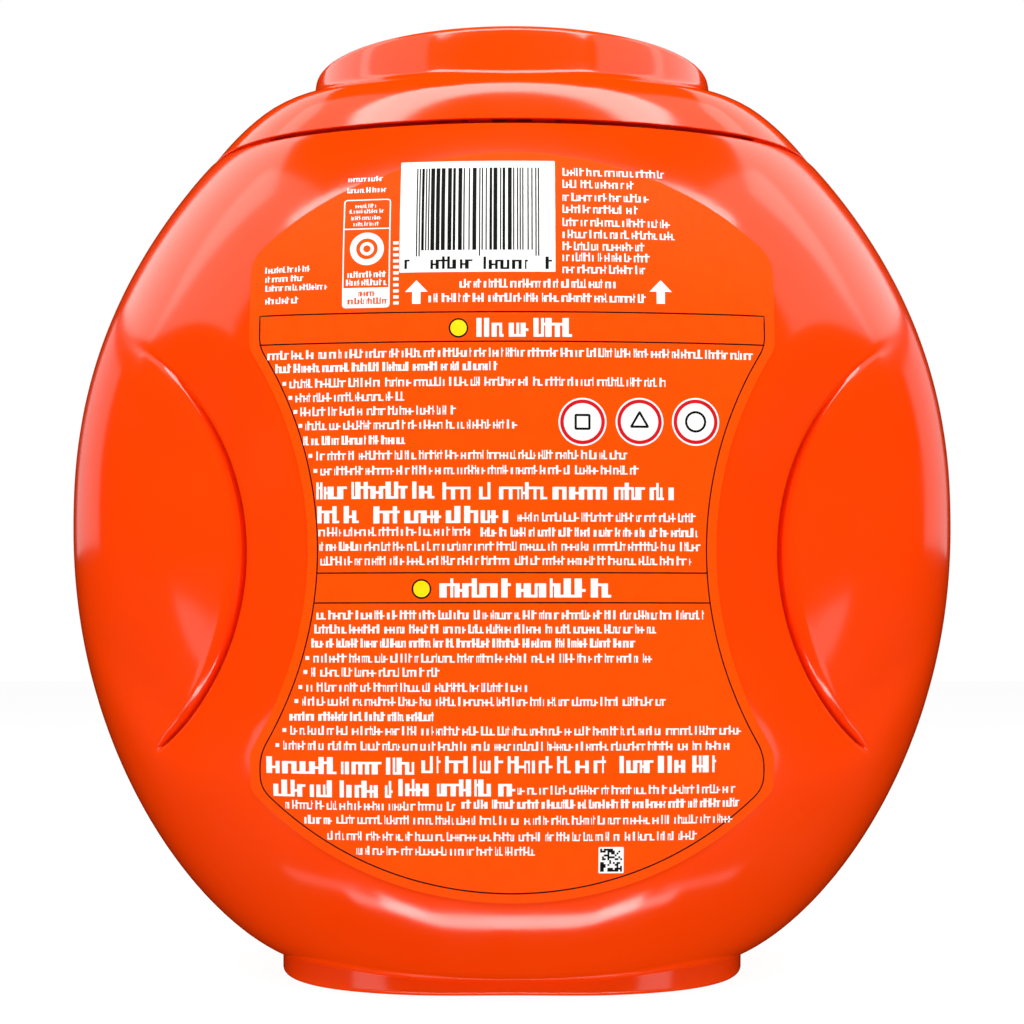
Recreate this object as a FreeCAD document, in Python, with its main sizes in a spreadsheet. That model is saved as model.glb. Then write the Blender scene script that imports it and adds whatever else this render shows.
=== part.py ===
import FreeCAD, Part
import math
import os
from FreeCAD import Vector

# Laundry pod tub: a wide blow-moulded tub with two hand grips, a closure base
# snapped on its neck, a domed lid hinged inside the rear rim, and a rear label.
#
# Frame: +Z up, origin at the middle of the foot's base, the labelled back
# towards -Y, so the hinge is at the back and the lid opens from the front.
# Millimetres throughout.

doc = FreeCAD.newDocument("LaundryPodTub")
sheet = doc.addObject("Spreadsheet::Sheet", "Sizes")

SIZES = [
    # Tub body, outside
    ("tub_width", 240.0),
    ("tub_depth", 156.0),
    ("belly_height", 118.0),
    ("belly_panel_radius", 316.0),
    ("waist_width", 122.0),
    ("waist_depth", 109.0),
    ("waist_panel_radius", 110.0),
    ("shoulder_height", 215.6),
    ("shoulder_width", 167.8),
    ("shoulder_depth", 122.8),
    ("shoulder_panel_radius", 124.0),
    ("shoulder_round", 1.2),
    # Foot and floor
    ("foot_width", 124.6),
    ("foot_depth", 112.0),
    ("foot_height", 5.3),
    ("foot_round", 1.2),
    ("foot_dip", 1.2),
    ("foot_dip_length", 50.0),
    ("waist_height", 3.8),
    ("floor_height", 6.5),
    ("push_up_inset", 5.0),
    ("push_up_depth", 3.8),
    # Walls of the tub
    ("tub_wall", 1.2),
    ("ceiling_height", 211.6),
    # Hand grips
    ("grip_reach", 127.0),
    ("grip_height", 110.0),
    ("grip_radius", 61.0),
    ("grip_depth", 9.0),
    ("grip_edge", 12.0),
    ("grip_flank", 45.0),
    ("grip_tip_flank", 8.0),
    # Neck, and the moat round it that the closure stands in
    ("mouth_width", 165.0),
    ("mouth_depth", 120.4),
    ("mouth_panel_radius", 122.0),
    ("moat_floor_height", 213.0),
    ("moat_rim", 1.6),
    ("neck_inset", 11.0),
    ("neck_wall", 1.6),
    ("neck_top_height", 217.0),
    ("neck_root", 1.0),
    ("overrun", 10.0),
    # Closure base
    ("collar_wall", 1.6),
    ("collar_fit", 0.2),
    ("skirt_lift", 0.4),
    ("deck_inset", 5.0),
    ("hand_hole_inset", 20.0),
    ("seal_lip_depth", 4.0),
    ("roll_depth", 5.0),
    # Hinge
    ("hinge_inset", 5.0),
    ("hinge_height", 220.0),
    ("hinge_bar_diameter", 2.8),
    ("hinge_bar_length", 30.0),
    ("hinge_fit", 0.08),
    ("hinge_arm_width", 2.5),
    ("arm_root", 2.6),
    ("arm_sink", 0.1),
    ("hinge_notch_width", 72.0),
    ("hinge_sweep", 3.9),
    ("knuckle_wall", 1.2),
    ("knuckle_width", 6.0),
    ("knuckle_offset", 8.0),
    ("knuckle_mouth", 2.2),
    ("web_inset", 1.9),
    ("web_setback", 0.4),
    # Press tabs at the front
    ("tab_offset", 24.0),
    ("tab_width", 12.0),
    ("tab_inset", 1.6),
    ("tab_wall", 1.4),
    ("tab_top_height", 222.6),
    ("tab_bridge_width", 7.0),
    ("tab_ear", 2.6),
    ("tab_ear_height", 1.5),
    ("tab_gap", 0.6),
    ("ear_setback", 0.9),
    ("ear_wall", 1.2),
    ("ear_drop", 1.0),
    ("bridge_root", 0.5),
    ("catch_lift", 0.4),
    ("catch_gap", 0.2),
    ("catch_clearance", 0.2),
    # Lid
    ("rim_height", 217.0),
    ("lid_wall", 1.7),
    ("dome_inset", 1.2),
    ("dome_drop", 1.45),
    ("dome_height", 21.6),
    ("dome_top_depth", 48.0),
    ("drum_base_height", 226.0),
    ("drum_margin", 3.9),
    ("drum_draft", 2.3),
    ("lid_top_height", 242.0),
    ("drum_round", 1.5),
    ("drum_root_round", 1.6),
    ("stop_ring_inset", 12.0),
    ("stop_ring_wall", 1.4),
    ("stop_gap", 0.15),
    ("stop_start", 44.0),
    # Rear label
    ("label_top_height", 207.0),
    ("label_side_top", 181.0),
    ("label_width", 126.4),
    ("label_waist_radius", 88.3),
    ("label_waist_reach", 137.0),
    ("label_foot_radius", 88.7),
    ("label_bottom_height", 25.8),
    ("label_film", 0.15),
    ("label_lift", 0.1),
]

for row, (alias, value) in enumerate(SIZES, start=1):
    sheet.set(f"A{row}", alias)
    sheet.set(f"B{row}", str(value))
    sheet.setAlias(f"B{row}", alias)
doc.recompute()


def size(alias):
    return float(sheet.get(alias))


# Plain solids, bound to the sheet

def box(name, corner, lengths):
    """A block from its lowest corner and its three lengths, each an expression."""
    block = doc.addObject("Part::Box", name)
    for axis, expression in zip("xyz", corner):
        block.setExpression(f"Placement.Base.{axis}", expression)
    for side, expression in zip(("Length", "Width", "Height"), lengths):
        block.setExpression(side, expression)
    return block


def cross_rod(name, start, length, depth, height, radius):
    """A round rod along X."""
    rod = doc.addObject("Part::Cylinder", name)
    rod.Placement = FreeCAD.Placement(Vector(0, 0, 0), FreeCAD.Rotation(Vector(0, 1, 0), 90))
    rod.setExpression("Placement.Base.x", start)
    rod.setExpression("Placement.Base.y", depth)
    rod.setExpression("Placement.Base.z", height)
    rod.setExpression("Height", length)
    rod.setExpression("Radius", radius)
    return rod


def prism(name, face, bottom, height):
    """A flat face drawn at height zero, extruded up from an expression's level."""
    profile = doc.addObject("Part::Feature", name + "_profile")
    profile.Shape = face
    solid = doc.addObject("Part::Extrusion", name)
    solid.Base = profile
    solid.DirMode = "Custom"
    solid.Dir = Vector(0, 0, 1)
    solid.Solid = True
    solid.setExpression("LengthFwd", height)
    solid.setExpression("Placement.Base.z", bottom)
    return solid


def fuse(name, pieces):
    joined = doc.addObject("Part::MultiFuse", name)
    joined.Shapes = pieces
    joined.Refine = False
    return joined


def common(name, pieces):
    shared = doc.addObject("Part::MultiCommon", name)
    shared.Shapes = pieces
    return shared


def cut(name, base, tool):
    remainder = doc.addObject("Part::Cut", name)
    remainder.Base = base
    remainder.Tool = tool
    return remainder


def freeform(name, shape):
    feature = doc.addObject("Part::Feature", name)
    feature.Shape = shape
    feature.Placement = FreeCAD.Placement()
    return feature


# Ovals: every level section of tub and lid is four tangent arcs, two wide ones
# for the front and back panels and two tighter ones for the sides

def side_radius(half_width, half_depth, panel_radius):
    spread = 2 * panel_radius * half_depth - half_width ** 2 - half_depth ** 2
    return spread / (2 * (panel_radius - half_width))


def oval_face(half_width, half_depth, panel_radius, inset=0.0):
    """The oval as exact arcs, moved inwards by an inset, in the XY plane."""
    side = side_radius(half_width, half_depth, panel_radius)
    side_centre = half_width - side
    panel_centre = panel_radius - half_depth
    turn = math.atan2(side_centre, panel_centre)
    panel = panel_radius - inset
    side -= inset
    x_join = panel * math.sin(turn)
    y_join = panel * math.cos(turn) - panel_centre
    x_end = side_centre + side
    y_end = panel - panel_centre
    arcs = [
        Part.Arc(Vector(-x_join, -y_join, 0), Vector(0, -y_end, 0), Vector(x_join, -y_join, 0)),
        Part.Arc(Vector(x_join, -y_join, 0), Vector(x_end, 0, 0), Vector(x_join, y_join, 0)),
        Part.Arc(Vector(x_join, y_join, 0), Vector(0, y_end, 0), Vector(-x_join, y_join, 0)),
        Part.Arc(Vector(-x_join, y_join, 0), Vector(-x_end, 0, 0), Vector(-x_join, -y_join, 0)),
    ]
    return Part.Face(Part.Wire([arc.toShape() for arc in arcs]))


def mouth_face(inset):
    return oval_face(size("mouth_width") / 2, size("mouth_depth") / 2,
                     size("mouth_panel_radius"), inset)


def mouth_ring(outer_inset, inner_inset):
    return mouth_face(outer_inset).cut(mouth_face(inner_inset)).Faces[0]


# The tub's outline: half-width, half-depth and panel radius at any height

WAIST_TO_BELLY = {"width": (2.0, 0.70), "depth": (6.0, 0.55), "radius": (10.0, 0.70)}
BELLY_TO_SHOULDER = {"width": 2.3, "depth": 3.6, "radius": 4.0}


def tub_oval(height):
    waist = (size("waist_width") / 2, size("waist_depth") / 2, size("waist_panel_radius"))
    belly = (size("tub_width") / 2, size("tub_depth") / 2, size("belly_panel_radius"))
    shoulder = (size("shoulder_width") / 2, size("shoulder_depth") / 2,
                size("shoulder_panel_radius"))
    if height < size("belly_height"):
        rise = (height - size("waist_height")) / (size("belly_height") - size("waist_height"))
        return [low + (high - low) * (1 - (1 - rise) ** swell) ** ease
                for low, high, (swell, ease) in zip(waist, belly, WAIST_TO_BELLY.values())]
    rise = (height - size("belly_height")) / (size("shoulder_height") - size("belly_height"))
    return [high - (high - low) * rise ** swell
            for low, high, swell in zip(shoulder, belly, BELLY_TO_SHOULDER.values())]


def ease(share):
    share = min(1.0, max(0.0, share))
    return share * share * (3 - 2 * share)


# Hand grips. Seen from the back, each grip's crease is an arc of a circle that
# stands outside the tub. The panel rounds down to the crease from inside the
# label, and beyond it the flank swells out again to the side of the tub. The
# crease ends in a groove low down and fades out at the shoulder.

GRIP_LOW_END, GRIP_LOW_FADE = -58.0, 13.0
GRIP_HIGH_END, GRIP_HIGH_FADE = 66.0, 45.0
GRIP_STRAIGHT = 50.0


def grip_share(x, height):
    """How far the wall is pressed in at a place: a share of the half-depth."""
    across = size("grip_reach") - abs(x)
    above = height - size("grip_height")
    outside = math.hypot(across, above) - size("grip_radius")
    angle = math.degrees(math.atan2(above, across))
    depth = size("grip_depth") / (size("tub_depth") / 2 - size("grip_depth") / 2)
    depth *= ease((angle - GRIP_LOW_END) / GRIP_LOW_FADE)
    depth *= ease((GRIP_HIGH_END - angle) / GRIP_HIGH_FADE)
    if outside > 0:
        return depth * max(0.0, 1 - outside / size("grip_edge")) ** 2
    spread = ease((angle - GRIP_LOW_END) / -GRIP_LOW_END)
    flank = size("grip_tip_flank") + (size("grip_flank") - size("grip_tip_flank")) * spread
    return depth * ease(1 + outside / flank)


def crease_at(height, half_width):
    """How far from the middle the crease lies at a height."""
    above = min(GRIP_STRAIGHT, abs(height - size("grip_height")))
    crease = size("grip_reach") - math.sqrt(size("grip_radius") ** 2 - above ** 2)
    return min(crease, 0.82 * half_width)


PANEL_STEPS, SIDE_STEPS = 10, 7
CREASE_STEP = 3.0


def graded(start, end, steps, fine_first):
    """Steps from start to end that grow evenly away from the crease."""
    growth = 2 * ((end - start) / steps - CREASE_STEP) / steps
    walked = [CREASE_STEP * step + growth * step ** 2 / 2 for step in range(steps + 1)]
    if fine_first:
        return [start + distance for distance in walked]
    return [end - distance for distance in reversed(walked)]


def quarter_section(height):
    """Points from the middle of a panel to the side, crowded round the crease."""
    half_width, half_depth, panel = tub_oval(height)
    side = side_radius(half_width, half_depth, panel)
    side_centre = half_width - side
    turn = math.atan2(side_centre, panel - half_depth)
    panel_length = panel * turn
    whole = panel_length + side * (math.pi / 2 - turn)
    crease = crease_at(height, half_width)
    if crease < panel * math.sin(turn):
        to_crease = panel * math.asin(crease / panel)
    else:
        to_crease = panel_length + side * (math.asin((crease - side_centre) / side) - turn)
    stations = graded(0.0, to_crease, PANEL_STEPS, False)
    stations += graded(to_crease, whole, SIDE_STEPS, True)[1:]
    points = []
    for along in stations:
        if along < panel_length:
            x = panel * math.sin(along / panel)
            y = panel * math.cos(along / panel) - (panel - half_depth)
        else:
            angle = turn + (along - panel_length) / side
            x = side_centre + side * math.sin(angle)
            y = side * math.cos(angle)
        points.append((x, -y * (1 - grip_share(x, height))))
    return points


def tub_section(height, inset=0.0):
    """A whole section as (x, y) points, counter-clockwise from the back's middle."""
    quarter = quarter_section(height)
    right = quarter[:-1] + [(x, -y) for x, y in reversed(quarter)]
    whole = right[:-1] + [(-x, y) for x, y in reversed(right)][:-1]
    moved = []
    for index, (x, y) in enumerate(whole):
        x_before, y_before = whole[index - 1]
        x_after, y_after = whole[(index + 1) % len(whole)]
        along_x, along_y = x_after - x_before, y_after - y_before
        length = math.hypot(along_x, along_y)
        moved.append((x - inset * along_y / length, y + inset * along_x / length))
    return moved


def level_heights():
    """Close together where the tub turns under and where the grips lie."""
    waist, shoulder = size("waist_height"), size("shoulder_height")
    grip_low = size("grip_height") - 1.05 * size("grip_radius")
    grip_high = size("grip_height") + size("grip_radius")
    levels = [waist + (grip_low - waist) * (step / 9) ** 1.8 for step in range(9)]
    levels += [grip_low + (grip_high - grip_low) * step / 20 for step in range(20)]
    levels += [grip_high + (shoulder - grip_high) * step / 7 for step in range(8)]
    return levels


def closed_spline(points, height):
    curve = Part.BSplineCurve()
    curve.interpolate(Points=[Vector(x, y, height) for x, y in points],
                      PeriodicFlag=True, Parameters=[float(knot) for knot in range(len(points) + 1)])
    return Part.Wire([curve.toShape()])


def tub_skin(inset, bottom, top):
    """The tub's wall surface as a solid, moved in by an inset and squeezed
    in height to run from bottom to top."""
    waist, shoulder = size("waist_height"), size("shoulder_height")
    sections = []
    for level in level_heights():
        height = bottom + (level - waist) * (top - bottom) / (shoulder - waist)
        sections.append(closed_spline(tub_section(level, inset), height))
    return Part.makeLoft(sections, True, False)


def edges_at(shape, height):
    return [edge for edge in shape.Edges
            if abs(edge.BoundBox.ZMin - height) < 1e-3 and abs(edge.BoundBox.ZMax - height) < 1e-3]


# Foot: a squarish oval ring whose long sides dip in a little at the middle

FOOT_SQUARENESS = 2.8
FOOT_POINTS = 48


def foot_face(inset):
    half_width = size("foot_width") / 2 - inset
    half_depth = size("foot_depth") / 2 - inset
    reach = size("foot_dip_length") / 2
    points = []
    for step in range(FOOT_POINTS):
        angle = 2 * math.pi * step / FOOT_POINTS
        cosine, sine = math.cos(angle), math.sin(angle)
        x = half_width * math.copysign(abs(cosine) ** (2 / FOOT_SQUARENESS), cosine)
        y = half_depth * math.copysign(abs(sine) ** (2 / FOOT_SQUARENESS), sine)
        dip = size("foot_dip") * (1 - min(1.0, abs(x) / reach) ** 2) ** 2
        points.append((x, y - math.copysign(dip, y) if abs(x) < reach else y))
    return Part.Face(closed_spline(points, 0.0))


# Tub

outer = tub_skin(0.0, size("waist_height"), size("shoulder_height"))
outer = outer.makeFillet(size("shoulder_round"), edges_at(outer, size("shoulder_height")))
tub_outside = freeform("tub_outside", outer)
tub_inside = freeform("tub_inside", tub_skin(size("tub_wall"), size("floor_height"),
                                             size("ceiling_height")))

foot_block = foot_face(0.0).extrude(Vector(0, 0, size("foot_height")))
foot_block = foot_block.makeFillet(size("foot_round"), edges_at(foot_block, 0.0))
foot = freeform("foot", foot_block)
push_up = prism("push_up", foot_face(size("push_up_inset")), "0 mm", "Sizes.push_up_depth")

moat_face = oval_face(size("shoulder_width") / 2, size("shoulder_depth") / 2,
                      size("shoulder_panel_radius"), size("moat_rim"))
moat_face = moat_face.cut(mouth_face(size("neck_inset"))).Faces[0]
moat = prism("moat", moat_face, "Sizes.moat_floor_height",
             "Sizes.shoulder_height - Sizes.moat_floor_height + Sizes.overrun")
neck = prism("neck", mouth_face(size("neck_inset")), "Sizes.moat_floor_height - Sizes.neck_root",
             "Sizes.neck_top_height - Sizes.moat_floor_height + Sizes.neck_root")
neck_bore = prism("neck_bore", mouth_face(size("neck_inset") + size("neck_wall")),
                  "Sizes.ceiling_height - Sizes.overrun",
                  "Sizes.neck_top_height - Sizes.ceiling_height + 2 * Sizes.overrun")

tub_mass = fuse("tub_mass", [tub_outside, foot, neck])
tub_hollow = fuse("tub_hollow", [tub_inside, push_up, moat, neck_bore])
tub = cut("tub", tub_mass, tub_hollow)


# Closure base: a skirt outside the neck, a deck over it with the hand hole, a
# seal lip inside the neck, the hinge bar on its arms and two press tabs

deck_top = "(Sizes.neck_top_height + Sizes.collar_wall)"
skirt_inset = size("neck_inset") - size("collar_fit")
lip_inset = size("neck_inset") + size("neck_wall") + size("collar_fit")

skirt = prism("skirt", mouth_ring(skirt_inset - size("collar_wall"), skirt_inset),
              "Sizes.moat_floor_height + Sizes.skirt_lift",
              f"{deck_top} - Sizes.moat_floor_height - Sizes.skirt_lift")
deck = prism("deck", mouth_ring(size("deck_inset"), size("hand_hole_inset")),
             "Sizes.neck_top_height", "Sizes.collar_wall")
seal_lip = prism("seal_lip", mouth_ring(lip_inset, lip_inset + size("collar_wall")),
                 "Sizes.neck_top_height - Sizes.seal_lip_depth",
                 "Sizes.seal_lip_depth + Sizes.collar_wall / 2")
hand_roll = prism("hand_roll",
                  mouth_ring(size("hand_hole_inset") - size("collar_wall"),
                             size("hand_hole_inset")),
                  "Sizes.neck_top_height - Sizes.roll_depth",
                  "Sizes.roll_depth + Sizes.collar_wall / 2")

hinge_depth = "(-(Sizes.mouth_depth / 2 - Sizes.hinge_inset))"
hinge_bar = cross_rod("hinge_bar", "-Sizes.hinge_bar_length / 2", "Sizes.hinge_bar_length",
                      hinge_depth, "Sizes.hinge_height", "Sizes.hinge_bar_diameter / 2")
hinge_notch = box("hinge_notch",
                  ("-Sizes.hinge_notch_width / 2",
                   "-Sizes.mouth_depth / 2",
                   "Sizes.moat_floor_height"),
                  ("Sizes.hinge_notch_width",
                   "Sizes.hinge_inset + Sizes.hinge_sweep",
                   "Sizes.hinge_height - Sizes.moat_floor_height"))
arm_top = "(Sizes.hinge_height + Sizes.hinge_bar_diameter / 2 - 0.1)"
hinge_arms = []
arm_places = {"left": "-Sizes.hinge_bar_length / 2",
              "middle": "-Sizes.hinge_arm_width / 2",
              "right": "Sizes.hinge_bar_length / 2 - Sizes.hinge_arm_width"}
for side, start in arm_places.items():
    hinge_arms.append(box(f"hinge_arm_{side}",
                          (start, hinge_depth, f"{deck_top} - Sizes.arm_sink"),
                          ("Sizes.hinge_arm_width", "Sizes.hinge_sweep + Sizes.arm_root",
                           f"{arm_top} - {deck_top} + Sizes.arm_sink")))

ear_inset = size("tab_inset") + size("tab_wall") + size("ear_setback")
tab_parts = []
for side, sign in (("left", "-1"), ("right", "1")):
    middle = f"{sign} * Sizes.tab_offset"
    tab_slab = box(f"tab_slab_{side}",
                   (f"{middle} - Sizes.tab_width / 2", "0 mm",
                    "Sizes.rim_height - Sizes.tab_gap"),
                   ("Sizes.tab_width", "Sizes.mouth_depth",
                    "Sizes.tab_top_height - Sizes.rim_height + Sizes.tab_gap"))
    tab_ring = prism(f"tab_ring_{side}",
                     mouth_ring(size("tab_inset"), size("tab_inset") + size("tab_wall")),
                     "Sizes.moat_floor_height", "2 * Sizes.overrun")
    ear_slab = box(f"ear_slab_{side}",
                   (f"{middle} - Sizes.tab_width / 2 - Sizes.tab_ear", "0 mm",
                    "Sizes.tab_top_height - Sizes.tab_ear_height - Sizes.ear_drop"),
                   ("Sizes.tab_width + 2 * Sizes.tab_ear", "Sizes.mouth_depth",
                    "Sizes.tab_ear_height"))
    ear_ring = prism(f"ear_ring_{side}",
                     mouth_ring(ear_inset, ear_inset + size("ear_wall")),
                     "Sizes.moat_floor_height", "2 * Sizes.overrun")
    ear_bridge_slab = box(f"ear_bridge_slab_{side}",
                          (f"{middle} - Sizes.tab_bridge_width / 2", "0 mm",
                           "Sizes.tab_top_height - Sizes.tab_ear_height - Sizes.ear_drop"),
                          ("Sizes.tab_bridge_width", "Sizes.mouth_depth",
                           "Sizes.tab_ear_height"))
    bridge_slab = box(f"bridge_slab_{side}",
                      (f"{middle} - Sizes.tab_bridge_width / 2", "0 mm",
                       "Sizes.neck_top_height"),
                      ("Sizes.tab_bridge_width", "Sizes.mouth_depth", "Sizes.collar_wall"))
    bridge_ring = prism(f"bridge_ring_{side}",
                        mouth_ring(size("tab_inset") + size("tab_wall") / 2,
                                   size("deck_inset") + size("bridge_root")),
                        "Sizes.moat_floor_height", "2 * Sizes.overrun")
    tab_parts.append(common(f"tab_{side}", [tab_slab, tab_ring]))
    tab_parts.append(common(f"ears_{side}", [ear_slab, ear_ring]))
    tab_parts.append(common(f"ear_bridge_{side}", [ear_bridge_slab, bridge_ring]))
    tab_parts.append(common(f"bridge_{side}", [bridge_slab, bridge_ring]))

collar_rings = fuse("collar_rings", [skirt, deck, seal_lip, hand_roll])
collar_notched = cut("collar_notched", collar_rings, hinge_notch)
collar = fuse("collar", [collar_notched, hinge_bar] + hinge_arms + tab_parts)


# Lid: an oval dome that carries on the tub's outline, with a round drum
# standing out of it, all one moulding

DOME_LEVELS = 16
CROWN_START, CROWN_SOFTNESS, WALL_LEAN = 0.58, 0.09, 0.10
drum_top_reach = size("mouth_depth") / 2 - size("drum_margin") - size("drum_draft")


def crown_share(rise):
    """The front and back walls lean in a little, then turn over into the crown."""
    def bend(at):
        return at - CROWN_START + math.hypot(at - CROWN_START, CROWN_SOFTNESS)

    turned = (bend(rise) - bend(0.0)) / (bend(1.0) - bend(0.0))
    return WALL_LEAN * rise + (1 - WALL_LEAN) * turned


def dome_oval(rise):
    """Half-width, half-depth and panel radius at a share of the dome's height."""
    width_low, width_high = size("mouth_width") / 2, drum_top_reach
    depth_low, depth_high = size("mouth_depth") / 2, size("dome_top_depth") / 2
    half_width = width_low - (width_low - width_high) * (0.62 * rise + 0.38 * rise ** 2.6)
    half_depth = depth_low - (depth_low - depth_high) * crown_share(rise)
    roundness = size("mouth_panel_radius") * depth_low / width_low ** 2
    return half_width, half_depth, roundness * half_width ** 2 / half_depth


def oval_points(half_width, half_depth, panel_radius, inset):
    wire = oval_face(half_width, half_depth, panel_radius, inset).OuterWire
    ordered = []
    for edge in wire.OrderedEdges:
        ordered += [edge.valueAt(edge.FirstParameter + (edge.LastParameter - edge.FirstParameter)
                                 * step / 8) for step in range(8)]
    return [(point.x, point.y) for point in ordered]


def dome_skin(inset, drop):
    sections = []
    for step in range(DOME_LEVELS + 1):
        rise = step / DOME_LEVELS
        points = oval_points(*dome_oval(rise), inset)
        height = size("rim_height") + rise * size("dome_height") - drop
        sections.append(closed_spline(points, height))
    return Part.makeLoft(sections, True, False)


dome_shape = dome_skin(0.0, 0.0)
dome_outside = freeform("dome_outside", dome_shape)
dome_inside = freeform("dome_inside", dome_skin(size("dome_inset"), size("dome_drop")))


def drum(name, shrink, drop):
    cone = doc.addObject("Part::Cone", name)
    cone.setExpression("Radius1", f"Sizes.mouth_depth / 2 - Sizes.drum_margin - {shrink}")
    cone.setExpression("Radius2", "Sizes.mouth_depth / 2 - Sizes.drum_margin - Sizes.drum_draft"
                       f" - {shrink}")
    cone.setExpression("Height", f"Sizes.lid_top_height - Sizes.drum_base_height - {drop}")
    cone.setExpression("Placement.Base.z", "Sizes.drum_base_height")
    return cone


drum_outside = drum("drum_outside", "0", "0")
drum_inside = drum("drum_inside", "Sizes.lid_wall", "Sizes.lid_wall")
doc.recompute()

lid_mass = dome_outside.Shape.fuse(drum_outside.Shape)
lid_mass = lid_mass.makeFillet(size("drum_round"), edges_at(lid_mass, size("lid_top_height")))
drum_roots = [edge for edge in lid_mass.Edges
              if size("drum_base_height") < edge.BoundBox.ZMin
              and edge.BoundBox.ZMax < size("lid_top_height") - 2 * size("drum_round")
              and edge.BoundBox.YLength > drum_top_reach / 2]
lid_mass = lid_mass.makeFillet(size("drum_root_round"), drum_roots)
lid_blank = freeform("lid_blank", lid_mass)

ring_tall = prism("ring_tall",
                  mouth_ring(size("stop_ring_inset"),
                             size("stop_ring_inset") + size("stop_ring_wall")),
                  f"{deck_top} + Sizes.stop_gap", "Sizes.dome_height")
dome_middle = freeform("dome_middle", dome_skin(size("dome_inset") / 2, size("dome_drop") / 2))
stop_ring = common("stop_ring", [ring_tall, dome_middle])
stop_break = box("stop_break", ("-Sizes.stop_start", "-Sizes.mouth_depth / 2", "Sizes.rim_height"),
                 ("2 * Sizes.stop_start", "Sizes.mouth_depth", "Sizes.dome_height"))
stop_ribs = cut("stop_ribs", stop_ring, stop_break)

knuckles = []
for side, sign in (("left", "-1"), ("right", "1")):
    start = f"{sign} * Sizes.knuckle_offset - Sizes.knuckle_width / 2"
    outer_radius = "(Sizes.hinge_bar_diameter / 2 + Sizes.hinge_fit + Sizes.knuckle_wall)"
    roll = cross_rod(f"knuckle_roll_{side}", start, "Sizes.knuckle_width", hinge_depth,
                     "Sizes.hinge_height", outer_radius)
    web = box(f"knuckle_web_{side}",
              (start, "-(Sizes.mouth_depth / 2 - Sizes.web_inset)",
               f"Sizes.hinge_height - {outer_radius} + Sizes.web_setback"),
              ("Sizes.knuckle_width", "Sizes.hinge_inset - Sizes.web_inset",
               f"2 * ({outer_radius} - Sizes.web_setback)"))
    knuckles += [roll, web]
bar_bore = cross_rod("bar_bore", "-Sizes.hinge_bar_length / 2", "Sizes.hinge_bar_length",
                     hinge_depth, "Sizes.hinge_height",
                     "Sizes.hinge_bar_diameter / 2 + Sizes.hinge_fit")
snap_mouth = box("snap_mouth",
                 ("-Sizes.hinge_bar_length / 2", f"{hinge_depth} - Sizes.knuckle_mouth / 2",
                  "Sizes.hinge_height - Sizes.overrun"),
                 ("Sizes.hinge_bar_length", "Sizes.knuckle_mouth", "Sizes.overrun"))

catches = []
tab_windows = []
for side, sign in (("left", "-1"), ("right", "1")):
    middle = f"{sign} * Sizes.tab_offset"
    reach = "(Sizes.tab_width / 2 + Sizes.tab_gap)"
    tab_windows.append(box(f"tab_window_{side}",
                           (f"{middle} - {reach}", "Sizes.mouth_depth / 4",
                            "Sizes.rim_height - Sizes.overrun"),
                           (f"2 * {reach}", "Sizes.mouth_depth",
                            "Sizes.tab_top_height - Sizes.rim_height + Sizes.tab_gap"
                            " + Sizes.overrun")))
    catch_slab = box(f"catch_slab_{side}",
                     (f"{middle} - {reach} - Sizes.tab_ear", "0 mm",
                      "Sizes.rim_height + Sizes.catch_lift"),
                     (f"2 * ({reach} + Sizes.tab_ear)", "Sizes.mouth_depth",
                      "Sizes.tab_top_height - Sizes.tab_ear_height - Sizes.ear_drop"
                      " - Sizes.catch_gap - Sizes.rim_height - Sizes.catch_lift"))
    catch_ring = prism(f"catch_ring_{side}",
                       mouth_ring(size("dome_inset"), ear_inset - size("catch_clearance")),
                       "Sizes.moat_floor_height", "2 * Sizes.overrun")
    catches.append(common(f"catch_{side}", [catch_slab, catch_ring]))

lid_hollow = fuse("lid_hollow", [dome_inside, drum_inside])
lid_shell = cut("lid_shell", lid_blank, lid_hollow)
lid_solid = fuse("lid_solid", [lid_shell, stop_ribs] + knuckles + catches)
lid_tools = fuse("lid_tools", [bar_bore, snap_mouth] + tab_windows)
lid = cut("lid", lid_solid, lid_tools)


# Rear label: a thin film with an arched top, waisted between the grips

def label_face():
    half = size("label_width") / 2
    rise = size("label_top_height") - size("label_side_top")
    reach, waist = size("label_waist_reach"), size("label_waist_radius")
    middle = size("grip_height")
    turn = math.sqrt(waist ** 2 - (reach - half) ** 2)
    foot_centre = size("label_bottom_height") + size("label_foot_radius")
    foot_side = foot_centre - math.sqrt(size("label_foot_radius") ** 2 - half ** 2)

    def at(x, height):
        return Vector(x, 0, height)

    edges = [
        Part.Arc(at(-half, middle + turn), at(waist - reach, middle), at(-half, middle - turn)),
        Part.LineSegment(at(-half, middle - turn), at(-half, foot_side)),
        Part.Arc(at(-half, foot_side), at(0, size("label_bottom_height")), at(half, foot_side)),
        Part.LineSegment(at(half, foot_side), at(half, middle - turn)),
        Part.Arc(at(half, middle - turn), at(reach - waist, middle), at(half, middle + turn)),
        Part.LineSegment(at(half, middle + turn), at(half, size("label_side_top"))),
        Part.Arc(at(half, size("label_side_top")), at(0, size("label_side_top") + rise),
                 at(-half, size("label_side_top"))),
        Part.LineSegment(at(-half, size("label_side_top")), at(-half, middle + turn)),
    ]
    return Part.Face(Part.Wire([edge.toShape() for edge in edges]))


label_stamp = label_face().extrude(Vector(0, -size("tub_depth"), 0))
film_inside, film_outside = [
    tub_skin(-lift, size("waist_height"), size("shoulder_height"))
    for lift in (size("label_lift"), size("label_lift") + size("label_film"))]
label_back = freeform("label_back", label_stamp.common(film_outside).cut(film_inside))

SUB_PARTS = {"tub": tub, "collar": collar, "lid": lid, "label_back": label_back}

doc.recompute()
for item in doc.Objects:
    if "Invalid" in item.State or "Error" in item.State:
        raise RuntimeError(f"{item.Name} did not build: {item.State}")

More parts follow.
